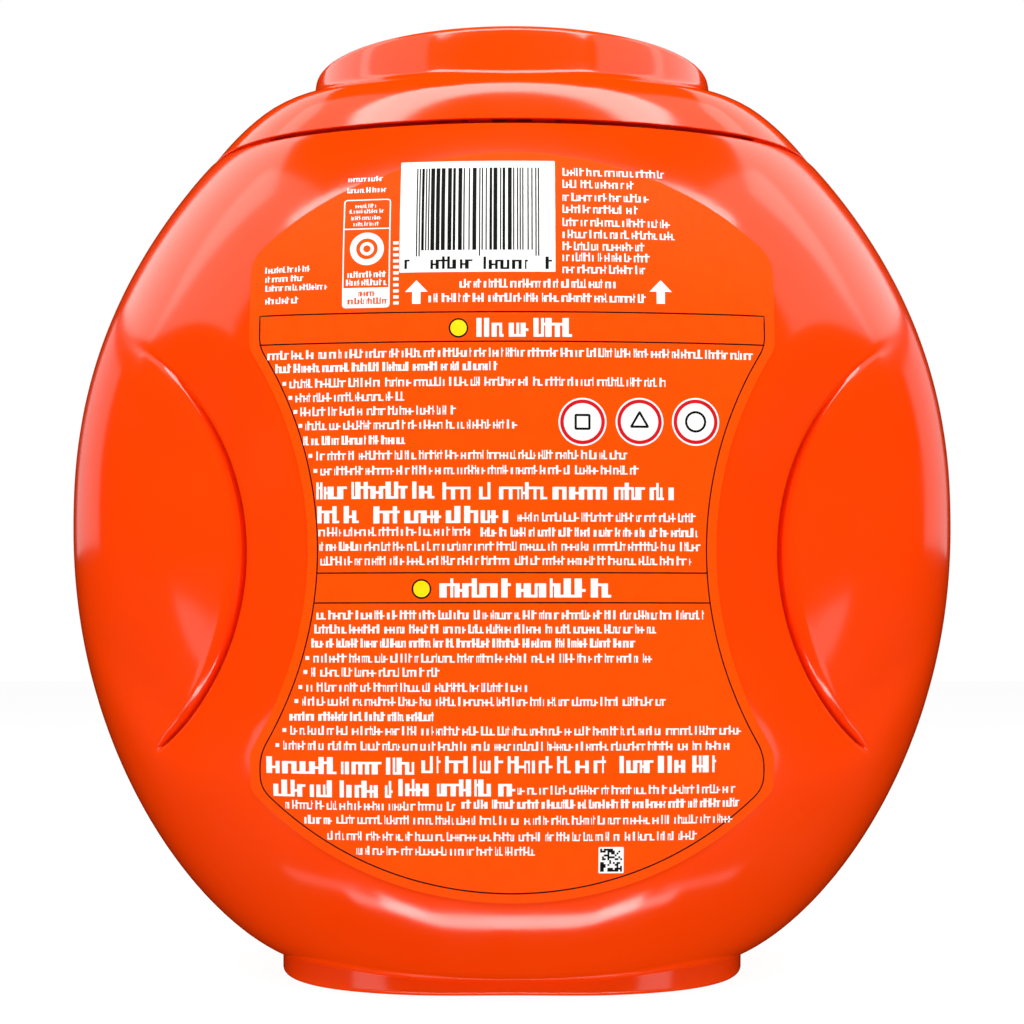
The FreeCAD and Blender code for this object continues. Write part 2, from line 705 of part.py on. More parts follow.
os.makedirs("parts", exist_ok=True)
for label, sub_part in SUB_PARTS.items():
    sub_part.Label = label
    shape = sub_part.Shape
    if shape.isNull() or not shape.isValid():
        raise RuntimeError(f"{label} has no valid shape")
    shape.exportStep(f"parts/{label}.step")
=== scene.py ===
import math
import random

import bpy
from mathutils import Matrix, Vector
from mathutils.geometry import delaunay_2d_cdt


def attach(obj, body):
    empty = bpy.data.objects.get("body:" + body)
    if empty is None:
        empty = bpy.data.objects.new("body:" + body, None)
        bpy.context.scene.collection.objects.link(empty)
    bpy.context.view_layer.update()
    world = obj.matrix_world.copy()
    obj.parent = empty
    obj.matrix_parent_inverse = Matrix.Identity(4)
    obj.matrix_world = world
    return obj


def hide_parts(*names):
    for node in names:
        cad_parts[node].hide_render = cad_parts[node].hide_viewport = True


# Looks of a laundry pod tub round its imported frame: a glossy moulded tub and lid
# at full resolution, the closure base, and the rear label with its print.
# Frame: +Z up, the labelled back towards -Y. Forms are written in millimetres.

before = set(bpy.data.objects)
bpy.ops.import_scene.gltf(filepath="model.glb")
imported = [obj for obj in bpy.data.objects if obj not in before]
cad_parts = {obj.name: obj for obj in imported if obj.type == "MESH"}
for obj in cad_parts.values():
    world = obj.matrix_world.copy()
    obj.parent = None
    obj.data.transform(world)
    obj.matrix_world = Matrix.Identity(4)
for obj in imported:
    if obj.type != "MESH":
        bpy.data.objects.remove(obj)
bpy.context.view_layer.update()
MM = 0.001
TUB_BODY, LID_BODY = "tub_body", "lid_body"


# Small helpers

def ease(share):
    share = min(1.0, max(0.0, share))
    return share * share * (3 - 2 * share)


def mix(low, high, share):
    return low + (high - low) * share


def linear(colour):
    """A colour written in 0 to 255 screen values, as linear light."""
    def curve(value):
        value /= 255
        return value / 12.92 if value <= 0.04045 else ((value + 0.055) / 1.055) ** 2.4
    return (*map(curve, colour), 1.0)


def placed(name, data):
    thing = bpy.data.objects.new(name, data)
    bpy.context.scene.collection.objects.link(thing)
    return thing


def mesh_piece(name, points, faces, material, body, slot, sharp=35.0):
    """A mesh from points in millimetres, smooth but for edges sharper than an angle."""
    mesh = bpy.data.meshes.new(name)
    mesh.from_pydata([(x * MM, y * MM, z * MM) for x, y, z in points], [], faces)
    mesh.validate()
    mesh.shade_smooth()
    mesh.set_sharp_from_angle(angle=math.radians(sharp))
    mesh.materials.append(material)
    piece = placed(name, mesh)
    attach(piece, body)
    return piece


def halved(low, high, steps, below):
    """The value between two at which a test turns false, by halving."""
    for _ in range(steps):
        middle = (low + high) / 2
        if below(middle):
            low = middle
        else:
            high = middle
    return (low + high) / 2


def bent(start, corner, end, steps):
    """Points from start to end round a corner, both ends left out."""
    return [tuple((1 - share) ** 2 * a + 2 * share * (1 - share) * b + share ** 2 * c
                  for a, b, c in zip(start, corner, end))
            for share in (step / steps for step in range(1, steps))]


def trimmed(path, distance):
    """A path with its first stretch cut off."""
    walked = 0.0
    for index, (a, b) in enumerate(zip(path, path[1:])):
        length = math.dist(a, b)
        if walked + length > distance:
            share = (distance - walked) / length
            return [(mix(a[0], b[0], share), mix(a[1], b[1], share))] + path[index + 1:]
        walked += length
    return path[-2:]


def polar(angle, reach, z):
    return math.cos(angle) * reach, math.sin(angle) * reach, z


def wall(reach, low, high, shares):
    """Points of a wall between two heights, with its reach worked out at each."""
    heights = [mix(low, high, share) for share in shares]
    return [(reach(z), z) for z in heights]


def turned(faces):
    return [tuple(reversed(face)) for face in faces]


def joined(parts):
    points, faces = [], []
    for part_points, part_faces in parts:
        offset = len(points)
        points += part_points
        faces += [tuple(index + offset for index in face) for face in part_faces]
    return points, faces


def closed_form(rings, first_centre, last_centre):
    """Rings of one size, closed at both ends by a fan to a point."""
    size = len(rings[0])
    afters = [(step, (step + 1) % size) for step in range(size)]
    faces = [(low + step, low + after, low + size + after, low + size + step)
             for low in range(0, size * (len(rings) - 1), size) for step, after in afters]
    points = [point for ring in rings for point in ring] + [first_centre, last_centre]
    first, last, top = len(points) - 2, len(points) - 1, (len(rings) - 1) * size
    for step, after in afters:
        faces += [(first, after, step), (last, top + step, top + after)]
    return points, faces


def slab(outline, low, high, place):
    """A closed block: an outline of two coordinates, set at two values of the third."""
    count = len(outline)
    points = [place(a, b, low) for a, b in outline] + [place(a, b, high) for a, b in outline]
    faces = [tuple(reversed(range(count))), tuple(range(count, 2 * count))]
    faces += [(step, (step + 1) % count, count + (step + 1) % count, count + step)
              for step in range(count)]
    return points, faces


def bar_of(rows, closed=False, flip=False):
    """A bar from rows of four corners, with two ends or run round into itself."""
    count = len(rows)
    faces = []
    for step in range(count if closed else count - 1):
        here, there = 4 * step, 4 * ((step + 1) % count)
        for corner in range(4):
            after = (corner + 1) % 4
            faces.append((here + corner, here + after, there + after, there + corner))
    if not closed:
        last = 4 * (count - 1)
        faces += [(3, 2, 1, 0), (last, last + 1, last + 2, last + 3)]
    return [point for row in rows for point in row], turned(faces) if flip else faces


# Materials

def node(tree, kind, **values):
    """A new shader node with values on its sockets."""
    made = tree.nodes.new("ShaderNode" + kind)
    for socket, value in values.items():
        made.inputs[socket.replace("_", " ")].default_value = value
    return made


def new_material(name):
    material = bpy.data.materials.new(name)
    material.use_nodes = True
    tree = material.node_tree
    tree.nodes.clear()
    shader, output = node(tree, "BsdfPrincipled"), node(tree, "OutputMaterial")
    tree.links.new(shader.outputs["BSDF"], output.inputs["Surface"])
    return material, tree, shader, output


def object_noise(tree, scale, detail, roughness=0.5):
    place = node(tree, "TexCoord")
    noise = node(tree, "TexNoise", Scale=scale, Detail=detail, Roughness=roughness)
    tree.links.new(place.outputs["Object"], noise.inputs["Vector"])
    return noise.outputs["Fac"]


NOISE_LOW, NOISE_HIGH = 0.3, 0.7
GLOSS_LOW, GLOSS_HIGH = 0.85, 1.2
MOULDED_IOR, PRINTED_IOR, PRINTED_SPECULAR = 1.49, 1.45, 0.06
SKIN_TONE, SKIN_GLOSS, SKIN_GRAIN = (14, 3), (60, 4), (900, 2)
INK_TONE, INK_GLOSS = (300, 2), (700, 2)


def ranged(tree, source, low, high):
    reach = node(tree, "MapRange", From_Min=NOISE_LOW, From_Max=NOISE_HIGH, To_Min=low, To_Max=high)
    tree.links.new(source, reach.inputs["Value"])
    return reach.outputs["Result"]


def coated(name, dark, light, roughness, tone, gloss, ior):
    """A material whose colour and gloss vary a little over the piece."""
    material, tree, shader, _ = new_material(name)
    blend = node(tree, "Mix")
    blend.data_type = "RGBA"
    blend.inputs["A"].default_value = linear(dark)
    blend.inputs["B"].default_value = linear(light)
    tree.links.new(ranged(tree, object_noise(tree, *tone), 0.0, 1.0), blend.inputs["Factor"])
    tree.links.new(blend.outputs["Result"], shader.inputs["Base Color"])
    tree.links.new(ranged(tree, object_noise(tree, *gloss), roughness * GLOSS_LOW,
                          roughness * GLOSS_HIGH), shader.inputs["Roughness"])
    shader.inputs["IOR"].default_value = ior
    return material, tree, shader


def plastic(name, dark, light, roughness, wave_scale, wave_height, grain_height):
    """Moulded polymer: slow waves from the mould under a fine skin."""
    material, tree, shader = coated(name, dark, light, roughness, SKIN_TONE, SKIN_GLOSS,
                                    MOULDED_IOR)
    waves = node(tree, "Bump", Strength=1.0, Distance=wave_height)
    grain = node(tree, "Bump", Strength=1.0, Distance=grain_height)
    tree.links.new(object_noise(tree, wave_scale, 1, 0.3), waves.inputs["Height"])
    tree.links.new(object_noise(tree, *SKIN_GRAIN), grain.inputs["Height"])
    tree.links.new(waves.outputs["Normal"], grain.inputs["Normal"])
    tree.links.new(grain.outputs["Normal"], shader.inputs["Normal"])
    return material


def ink(name, dark, light, roughness=0.5):
    """Matt print, or printed film, with hardly any gloss of its own."""
    material, _, shader = coated(name, dark, light, roughness, INK_TONE, INK_GLOSS, PRINTED_IOR)
    shader.inputs["Specular IOR Level"].default_value = PRINTED_SPECULAR
    return material


TUB_PLASTIC = plastic("tub_plastic", (255, 62, 0), (255, 66, 0), 0.13, 9, 1e-4, 6e-7)
LID_PLASTIC = plastic("lid_plastic", (255, 65, 0), (255, 69, 0), 0.11, 7, 3e-5, 4e-7)
BASE_PLASTIC = plastic("collar_plastic", (255, 66, 0), (255, 72, 0), 0.22, 8, 2e-5, 2e-6)
LABEL_FILM = ink("label_film", (255, 76, 0), (255, 79, 0))
WHITE_INK = ink("white_ink", (243, 243, 240), (250, 250, 248))
BLACK_INK = ink("black_ink", (12, 10, 10), (22, 19, 18))
YELLOW_INK = ink("yellow_ink", (252, 214, 10), (255, 222, 24))
RED_INK = ink("red_ink", (205, 16, 26), (216, 24, 34))


# Ovals: four tangent arcs, two wide ones for the panels and two for the sides

TUB_WAIST = (61.0, 54.5, 110.0)
TUB_BELLY = (120.0, 78.0, 316.0)
TUB_SHOULDER = (83.9, 61.4, 124.0)
WAIST_Z, BELLY_Z, SHOULDER_Z = 3.8, 118.0, 215.6
LOWER_CURVES = ((2.0, 0.70), (6.0, 0.55), (10.0, 0.70))
UPPER_CURVES = (2.3, 3.6, 4.0)
MOUTH = (82.5, 60.2, 122.0)


def tub_oval(z):
    if z < BELLY_Z:
        rise = max(0.0, (z - WAIST_Z) / (BELLY_Z - WAIST_Z))
        return [mix(low, high, (1 - (1 - rise) ** swell) ** power)
                for low, high, (swell, power) in zip(TUB_WAIST, TUB_BELLY, LOWER_CURVES)]
    rise = (z - BELLY_Z) / (SHOULDER_Z - BELLY_Z)
    return [mix(high, low, rise ** swell)
            for low, high, swell in zip(TUB_SHOULDER, TUB_BELLY, UPPER_CURVES)]


def oval_lengths(oval, inset=0.0):
    """Where the panel arc ends, the quarter's whole length, and what a point needs."""
    half_width, half_depth, panel = oval
    spread = 2 * panel * half_depth - half_width ** 2 - half_depth ** 2
    side = spread / (2 * (panel - half_width))
    side_centre = half_width - side
    turn = math.atan2(side_centre, panel - half_depth)
    panel_length = (panel - inset) * turn
    return panel_length, panel_length + (side - inset) * (math.pi / 2 - turn), side, side_centre, turn


def oval_point(oval, along, inset=0.0):
    """The point of a quarter at a length along it from the panel's middle."""
    _, half_depth, panel = oval
    panel_length, _, side, side_centre, turn = oval_lengths(oval, inset)
    if along < panel_length:
        angle = along / (panel - inset)
        return ((panel - inset) * math.sin(angle),
                (panel - inset) * math.cos(angle) - (panel - half_depth))
    angle = turn + (along - panel_length) / (side - inset)
    return side_centre + (side - inset) * math.sin(angle), (side - inset) * math.cos(angle)


def oval_reach(oval, angle, inset=0.0):
    """How far the oval lies from its middle in a direction, an angle from +X."""
    _, half_depth, panel = oval
    _, _, side, side_centre, turn = oval_lengths(oval, inset)
    across, away, panel_centre = abs(math.cos(angle)), abs(math.sin(angle)), panel - half_depth
    side, panel = side - inset, panel - inset
    reach = side_centre * across + math.sqrt(max(0.0, side ** 2 - (side_centre * away) ** 2))
    if reach * across < side_centre + side * math.sin(turn) - 1e-9:
        panel_reach = math.sqrt(panel ** 2 - (panel_centre * across) ** 2) - panel_centre * away
        if panel_reach * across <= panel * math.sin(turn) + 1e-6:
            reach = panel_reach
    return reach


def oval_depth(oval, x, inset=0.0):
    """How far the oval, moved in, stands from its long axis at a width."""
    _, half_depth, panel = oval
    _, _, side, side_centre, turn = oval_lengths(oval, inset)
    if abs(x) < (panel - inset) * math.sin(turn):
        return math.sqrt((panel - inset) ** 2 - x ** 2) - (panel - half_depth)
    return math.sqrt(max(0.0, (side - inset) ** 2 - (abs(x) - side_centre) ** 2))


# Hand grips: a lens pressed in on a circle, a step down along its inner edge with a narrow
# bank beside it that runs down into a groove at the lower tip, and a fine line in the step

GRIP_REACH, GRIP_Z, GRIP_RADIUS = 127.0, 110.0, 62.0
GRIP_DEPTH, GRIP_EDGE, GRIP_FLANK = 5.5, 17.0, 45.0
GRIP_LOW_END, GRIP_LOW_FADE, GRIP_HIGH_END, GRIP_HIGH_FADE = -58.0, 16.0, 66.0, 45.0
CREASE_DEPTH, CREASE_WALL, BANK_WIDTH, BANK_TIP_WIDTH = 2.6, 0.9, 4.2, 2.4
LINE_DEPTH, LINE_REACH = 1.5, 0.9
EDGE_POWER, WALL_POWER, BANK_POWER, BANK_GROWTH = 1.4, 2, 1.5, 30
CREASE_LOW_END, CREASE_LOW_FADE, CREASE_HIGH_END, CREASE_HIGH_FADE = -53.5, 5.0, 60.0, 50.0
GRIP_STRAIGHT, GRIP_WIDEST = 50.0, 0.82


def grip_share(x, z):
    """How much of the depth is pressed in at a place, as a share."""
    across, above = GRIP_REACH - abs(x), z - GRIP_Z
    outside = math.hypot(across, above) - GRIP_RADIUS
    angle = math.degrees(math.atan2(above, across))
    depth = GRIP_DEPTH * ease((angle - GRIP_LOW_END) / GRIP_LOW_FADE)
    depth *= ease((GRIP_HIGH_END - angle) / GRIP_HIGH_FADE)
    crease = CREASE_DEPTH * ease((angle - CREASE_LOW_END) / CREASE_LOW_FADE)
    crease *= ease((CREASE_HIGH_END - angle) / CREASE_HIGH_FADE)
    if outside > 0:
        sunk = depth * max(0.0, 1 - outside / GRIP_EDGE) ** EDGE_POWER
        sunk += crease * max(0.0, 1 - outside / CREASE_WALL) ** WALL_POWER
    else:
        bank = mix(BANK_TIP_WIDTH, BANK_WIDTH, ease((angle - CREASE_LOW_END) / BANK_GROWTH))
        sunk = depth * ease(1 + outside / GRIP_FLANK)
        sunk += crease * max(0.0, 1 + outside / bank) ** BANK_POWER
    line = LINE_DEPTH * ease((GRIP_HIGH_END - angle) / CREASE_HIGH_FADE)
    line *= ease((angle - CREASE_LOW_END) / CREASE_LOW_FADE)
    sunk += line * max(0.0, 1 - abs(outside) / LINE_REACH)
    return sunk / (TUB_BELLY[1] - GRIP_DEPTH / 2)


def crease_at(z, half_width):
    """The width at which the grip's edge crosses a height."""
    above = min(GRIP_STRAIGHT, abs(z - GRIP_Z))
    return min(GRIP_REACH - math.sqrt(GRIP_RADIUS ** 2 - above ** 2), GRIP_WIDEST * half_width)


PANEL_COLUMNS, SIDE_COLUMNS = 48, 36
CREASE_CELL = 0.35


def graded(start, end, steps, fine_first):
    """Places between two, with the finest cells at one end."""
    growth = 2 * ((end - start) / steps - CREASE_CELL) / steps
    walked = [CREASE_CELL * step + growth * step ** 2 / 2 for step in range(steps + 1)]
    if fine_first:
        return [start + distance for distance in walked]
    return [end - distance for distance in reversed(walked)]


def stations(z):
    """Shares of the quarter's length, crowded round the crease at this height."""
    oval = tub_oval(z)
    panel_length, whole, side, side_centre, turn = oval_lengths(oval)
    crease = crease_at(z, oval[0])
    if crease < oval[2] * math.sin(turn):
        to_crease = oval[2] * math.asin(crease / oval[2])
    else:
        to_crease = panel_length + side * (math.asin((crease - side_centre) / side) - turn)
    walked = graded(0.0, to_crease, PANEL_COLUMNS, False)
    walked += graded(to_crease, whole, SIDE_COLUMNS, True)[1:]
    return [along / whole for along in walked]


def whole_ring(quarter, z):
    """A ring of points from a quarter's (x, depth) points; starts at the back's middle."""
    right = [(x, -y, z) for x, y in quarter[:-1]] + [(x, y, z) for x, y in reversed(quarter)]
    return right[:-1] + [(-x, y, z) for x, y, z in reversed(right)][:-1]


def skin_ring(z, inset=0.0, at=None):
    """The tub's outside at a height, moved in square to itself and set at another height."""
    oval = tub_oval(z)
    whole = oval_lengths(oval)[1]
    quarter = []
    for share in stations(z):
        x, y = oval_point(oval, share * whole)
        quarter.append((x, y * (1 - grip_share(x, z))))
    ring = whole_ring(quarter, z if at is None else at)
    if not inset:
        return ring
    moved = []
    for index, (x, y, height) in enumerate(ring):
        before, after = ring[index - 1], ring[(index + 1) % len(ring)]
        along_x, along_y = after[0] - before[0], after[1] - before[1]
        length = math.hypot(along_x, along_y)
        moved.append((x - inset * along_y / length, y + inset * along_x / length, height))
    return moved


TOP_STATIONS = stations(SHOULDER_Z)


def plain_ring(oval, inset, z, shares=TOP_STATIONS):
    whole = oval_lengths(oval, inset)[1]
    return whole_ring([oval_point(oval, share * whole, inset) for share in shares], z)


def back_depth(x, z):
    """How far the back's surface stands out at a place on it."""
    return oval_depth(tub_oval(z), x) * (1 - grip_share(x, z))


# Foot

FOOT_HALF = (62.3, 56.0)
FOOT_SQUARENESS, FOOT_ROUND, FOOT_DIP, FOOT_DIP_REACH = 2.8, 1.2, 1.2, 25.0


def foot_reach(angle, inset):
    """How far the foot's outline lies from the middle in a direction."""
    across, away = abs(math.cos(angle)), abs(math.sin(angle))
    half_width, half_depth = FOOT_HALF[0] - inset, FOOT_HALF[1] - inset
    reach = ((across / half_width) ** FOOT_SQUARENESS
             + (away / half_depth) ** FOOT_SQUARENESS) ** (-1 / FOOT_SQUARENESS)
    x = reach * across
    if x < FOOT_DIP_REACH:
        reach -= FOOT_DIP * (1 - (x / FOOT_DIP_REACH) ** 2) ** 2 / max(away, 0.5)
    return reach


def disc_rings(ring, shares, z):
    """Rings that shrink towards the middle, to close a flat face with even cells."""
    return [[(x * share, y * share, z) for x, y, _ in ring] for share in shares]


FOOT_TOP_LOW, FOOT_TOP_HIGH, BASE_Z = 3.9, 6.5, 4.6
PUSH_UP_INSET, PUSH_UP_TOP = 5.0, 3.8
FLOOR_Z, CEILING_Z, TUB_WALL = 6.5, 211.6, 1.2
MOAT_FLOOR_Z, MOAT_RIM, SHOULDER_FLAT = 213.0, 1.6, 0.75
NECK_INSET, NECK_WALL, NECK_TOP_Z = 11.0, 1.6, 217.0
NECK_INSIDE = NECK_INSET + NECK_WALL
BREAK, FINE_BREAK, WIDE_BREAK, CORNER_STEPS = 0.3, 0.25, 0.4, 6
FOOT_ROUND_STEPS, SHOULDER_STEPS, INSIDE_STEPS = 6, 6, 34
LOW_LEVELS = (4.7, 5.2, 5.8, 6.6, 7.6, 8.8, 10.2, 11.8, 13.6, 15.6)
SKIN_SPANS = ((17.8, 46.0, 20), (46.0, 172.0, 96), (172.0, 214.9, 26))
BLEND_START_Z, BLEND_END_Z = 4.3, 7.0
FLOOR_CROWD, FLOOR_CROWD_POWER = 0.2, 1.15


def build_tub():
    # where the foot's wall runs into the skin, worked out for each column
    angles = [math.atan2(y, x) for x, y, _ in skin_ring(BASE_Z)]
    foot_tops = [halved(FOOT_TOP_LOW, FOOT_TOP_HIGH, 18,
                        lambda z: oval_reach(tub_oval(z), angle) < foot_reach(angle, 0.0))
                 for angle in angles]

    def foot_ring(inset, z):
        return [polar(angle, foot_reach(angle, inset), z) for angle in angles]

    rings = disc_rings(foot_ring(PUSH_UP_INSET, 0), (0.25, 0.5, 0.75, 0.9), PUSH_UP_TOP)
    rings += [foot_ring(PUSH_UP_INSET + WIDE_BREAK, PUSH_UP_TOP),
              foot_ring(PUSH_UP_INSET, PUSH_UP_TOP - WIDE_BREAK),
              foot_ring(PUSH_UP_INSET, BREAK), foot_ring(PUSH_UP_INSET - BREAK, 0.0),
              foot_ring(FOOT_ROUND + 2 * BREAK, 0.0)]
    for step in range(FOOT_ROUND_STEPS + 1):
        turn = math.radians(90 * step / FOOT_ROUND_STEPS)
        rings.append(foot_ring(FOOT_ROUND * (1 - math.sin(turn)),
                               FOOT_ROUND * (1 - math.cos(turn))))
    for share in (0.5, 0.9, 1.0):
        rings.append([polar(angle, foot_reach(angle, 0.0), mix(FOOT_ROUND, foot_top, share))
                      for angle, foot_top in zip(angles, foot_tops)])
    # the first levels start from the foot's top in each column
    for level in LOW_LEVELS:
        ring = skin_ring(level)
        if level < BLEND_END_Z:
            ring = []
            for angle, foot_top in zip(angles, foot_tops):
                z = mix(foot_top, BLEND_END_Z,
                        (level - BLEND_START_Z) / (BLEND_END_Z - BLEND_START_Z))
                ring.append(polar(angle, oval_reach(tub_oval(z), angle), z))
        rings.append(ring)
    for low, high, steps in SKIN_SPANS:
        rings += [skin_ring(mix(low, high, step / steps)) for step in range(steps)]
    rings.append(skin_ring(SKIN_SPANS[-1][1]))
    # round the shoulder's edge over to the rim of the moat
    rounded = [bent(*corners, SHOULDER_STEPS)
               for corners in zip(rings[-1], skin_ring(SHOULDER_Z),
                                  plain_ring(TUB_SHOULDER, SHOULDER_FLAT, SHOULDER_Z))]
    rings += [list(ring) for ring in zip(*rounded)]
    rings += [plain_ring(TUB_SHOULDER, inset, z) for inset, z in (
        (SHOULDER_FLAT, SHOULDER_Z), (MOAT_RIM - FINE_BREAK, SHOULDER_Z),
        (MOAT_RIM, SHOULDER_Z - FINE_BREAK), (MOAT_RIM, MOAT_FLOOR_Z + WIDE_BREAK),
        (MOAT_RIM + WIDE_BREAK, MOAT_FLOOR_Z))]
    rings += [plain_ring(MOUTH, inset, z) for inset, z in (
        (NECK_INSET - WIDE_BREAK, MOAT_FLOOR_Z), (NECK_INSET, MOAT_FLOOR_Z + WIDE_BREAK),
        (NECK_INSET, NECK_TOP_Z - BREAK), (NECK_INSET + BREAK, NECK_TOP_Z),
        (NECK_INSIDE - BREAK, NECK_TOP_Z), (NECK_INSIDE, NECK_TOP_Z - BREAK),
        (NECK_INSIDE, CEILING_Z + BREAK), (NECK_INSIDE - BREAK, CEILING_Z))]
    # the inside wall, squeezed in height between ceiling and floor as the solid's is
    for step in range(INSIDE_STEPS + 1):
        share = 1 - step / INSIDE_STEPS
        level = mix(WAIST_Z, SHOULDER_Z,
                    share ** FLOOR_CROWD_POWER if share < FLOOR_CROWD else share)
        at = FLOOR_Z + (level - WAIST_Z) * (CEILING_Z - FLOOR_Z) / (SHOULDER_Z - WAIST_Z)
        rings.append(skin_ring(level, TUB_WALL, at))
    rings += disc_rings(rings[-1], (0.9, 0.6, 0.3), FLOOR_Z)
    points, faces = closed_form(rings, (0, 0, PUSH_UP_TOP), (0, 0, FLOOR_Z))
    tub = mesh_piece("tub_shell", points, faces, TUB_PLASTIC, TUB_BODY, "tub_plastic")
    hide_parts("tub")


build_tub()


# Lid: the dome and the drum that stands out of it, one moulding

RIM_Z, DOME_RISE, LID_TOP_Z = 217.0, 21.6, 242.0
DOME_TOP = (54.0, 24.0)
CROWN_START, CROWN_SOFTNESS, WALL_LEAN = 0.58, 0.09, 0.10
WIDTH_SHARE, WIDTH_POWER = 0.62, 2.6
DRUM_BASE_Z, DRUM_BASE, DRUM_TOP, DRUM_ROUND, DRUM_ROOT = 226.0, 56.3, 54.0, 1.5, 1.6
LID_WALL, DOME_INSET, DOME_DROP = 1.7, 1.2, 1.45
LID_COLUMNS, LID_SHARP, RIM_BREAK, ROOF_BREAK = 300, 40, 0.2, 0.5
DOME_SHARES = (0, .004, .01, .02, .03, .045, .06, .08, .10, .13, .16, .2, .25, .3, .36, .42, .5,
               .58, .66, .74, .82, .9, .95, .985)
ROOT_STEPS, ROOT_LEADS = 7, (0.0, 0.5, 1.1, 1.8, 2.6, 3.5)
DRUM_SHARES, INNER_DRUM_SHARES = (0.0, 0.25, 0.5, 0.75, 1.0), (0.3, 0.65, 0.96)
OUTER_SHARES = (.06, .12, .19, .27, .35, .44, .53, .62, .71, .80, .88, .95, .985)
INNER_SHARES = (0.02, .1, .2, .3, .4, .5, .6, .7, .8, .88, .94, 1.0)


def dome_oval(rise):
    """The dome's oval at a share of its rise: it leans, then bends over into the crown."""
    def bend(at):
        return at - CROWN_START + math.hypot(at - CROWN_START, CROWN_SOFTNESS)

    rise = min(1.0, max(0.0, rise))
    bending = (bend(rise) - bend(0.0)) / (bend(1.0) - bend(0.0))
    crown = WALL_LEAN * rise + (1 - WALL_LEAN) * bending
    narrowed = WIDTH_SHARE * rise + (1 - WIDTH_SHARE) * rise ** WIDTH_POWER
    half_width = MOUTH[0] - (MOUTH[0] - DOME_TOP[0]) * narrowed
    half_depth = MOUTH[1] - (MOUTH[1] - DOME_TOP[1]) * crown
    roundness = MOUTH[2] * MOUTH[1] / MOUTH[0] ** 2
    return half_width, half_depth, roundness * half_width ** 2 / half_depth


def dome_reach(angle, z, inset=0.0, drop=0.0):
    return oval_reach(dome_oval((z + drop - RIM_Z) / DOME_RISE), angle, inset)


def drum_reach(z, shrink=0.0, top=LID_TOP_Z):
    return mix(DRUM_BASE - shrink, DRUM_TOP - shrink, (z - DRUM_BASE_Z) / (top - DRUM_BASE_Z))


def meeting_height(angle, inset, drop, shrink, top):
    """Where the drum stands out of the dome in a direction."""
    return halved(DRUM_BASE_Z, RIM_Z + DOME_RISE - drop, 26,
                  lambda z: dome_reach(angle, z, inset, drop) > drum_reach(z, shrink, top))


def lid_column(angle):
    """The lid's section in one direction, from the top's middle out and back inside."""
    def outside(z):
        return dome_reach(angle, z)

    def inside(z):
        return dome_reach(angle, z, DOME_INSET, DOME_DROP)

    meet = meeting_height(angle, 0.0, 0.0, 0.0, LID_TOP_Z)
    dome = wall(outside, meet, RIM_Z, DOME_SHARES)
    wall_top, root_z = LID_TOP_Z - DRUM_ROUND, meet + DRUM_ROOT
    outer = wall(drum_reach, wall_top, root_z, DRUM_SHARES)
    outer += bent(outer[-1], (drum_reach(meet), meet), trimmed(dome, DRUM_ROOT)[0], ROOT_STEPS)
    outer += [trimmed(dome, DRUM_ROOT + lead)[0] for lead in ROOT_LEADS]
    outer += wall(outside, outer[-1][1], RIM_Z, OUTER_SHARES)
    over = [(DRUM_TOP - DRUM_ROUND, LID_TOP_Z)]
    over += bent(over[0], (DRUM_TOP, LID_TOP_Z), outer[0], CORNER_STEPS)
    under = [(outside(RIM_Z) - FINE_BREAK, RIM_Z), (inside(RIM_Z) + RIM_BREAK, RIM_Z)]
    roof = LID_TOP_Z - LID_WALL
    inside_meet = meeting_height(angle, DOME_INSET, DOME_DROP, LID_WALL, roof)
    inner = wall(inside, RIM_Z, inside_meet, INNER_SHARES)
    inner += wall(lambda z: drum_reach(z, LID_WALL, roof), inside_meet, roof, INNER_DRUM_SHARES)
    return over + outer + under + inner + [(inner[-1][0] - ROOF_BREAK, roof)]


def build_lid():
    angles = [2 * math.pi * step / LID_COLUMNS - math.pi / 2 for step in range(LID_COLUMNS)]
    columns = [lid_column(angle) for angle in angles]
    rings = [[polar(angle, *place) for angle, place in zip(angles, row)] for row in zip(*columns)]
    top = disc_rings(rings[0], (0.2, 0.4, 0.6, 0.8, 0.93), LID_TOP_Z)
    roof = disc_rings(rings[-1], (0.8, 0.5, 0.2), LID_TOP_Z - LID_WALL)
    points, faces = closed_form(top + rings + roof, (0, 0, LID_TOP_Z),
                                (0, 0, LID_TOP_Z - LID_WALL))
    lid = mesh_piece("lid_shell", points, turned(faces), LID_PLASTIC, LID_BODY, "lid_plastic",
                     LID_SHARP)
    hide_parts("lid")
    return lid


lid_shell = build_lid()


# Windows in the lid's front for the two press tabs

TAB_OFFSET, TAB_HALF, TAB_GAP, TAB_TOP_Z, TAB_EAR = 24.0, 6.0, 0.6, 222.6, 2.6
CUT_LOW_Z, CUT_NEAR, CUT_FAR = 207.0, 40.0, 70.0


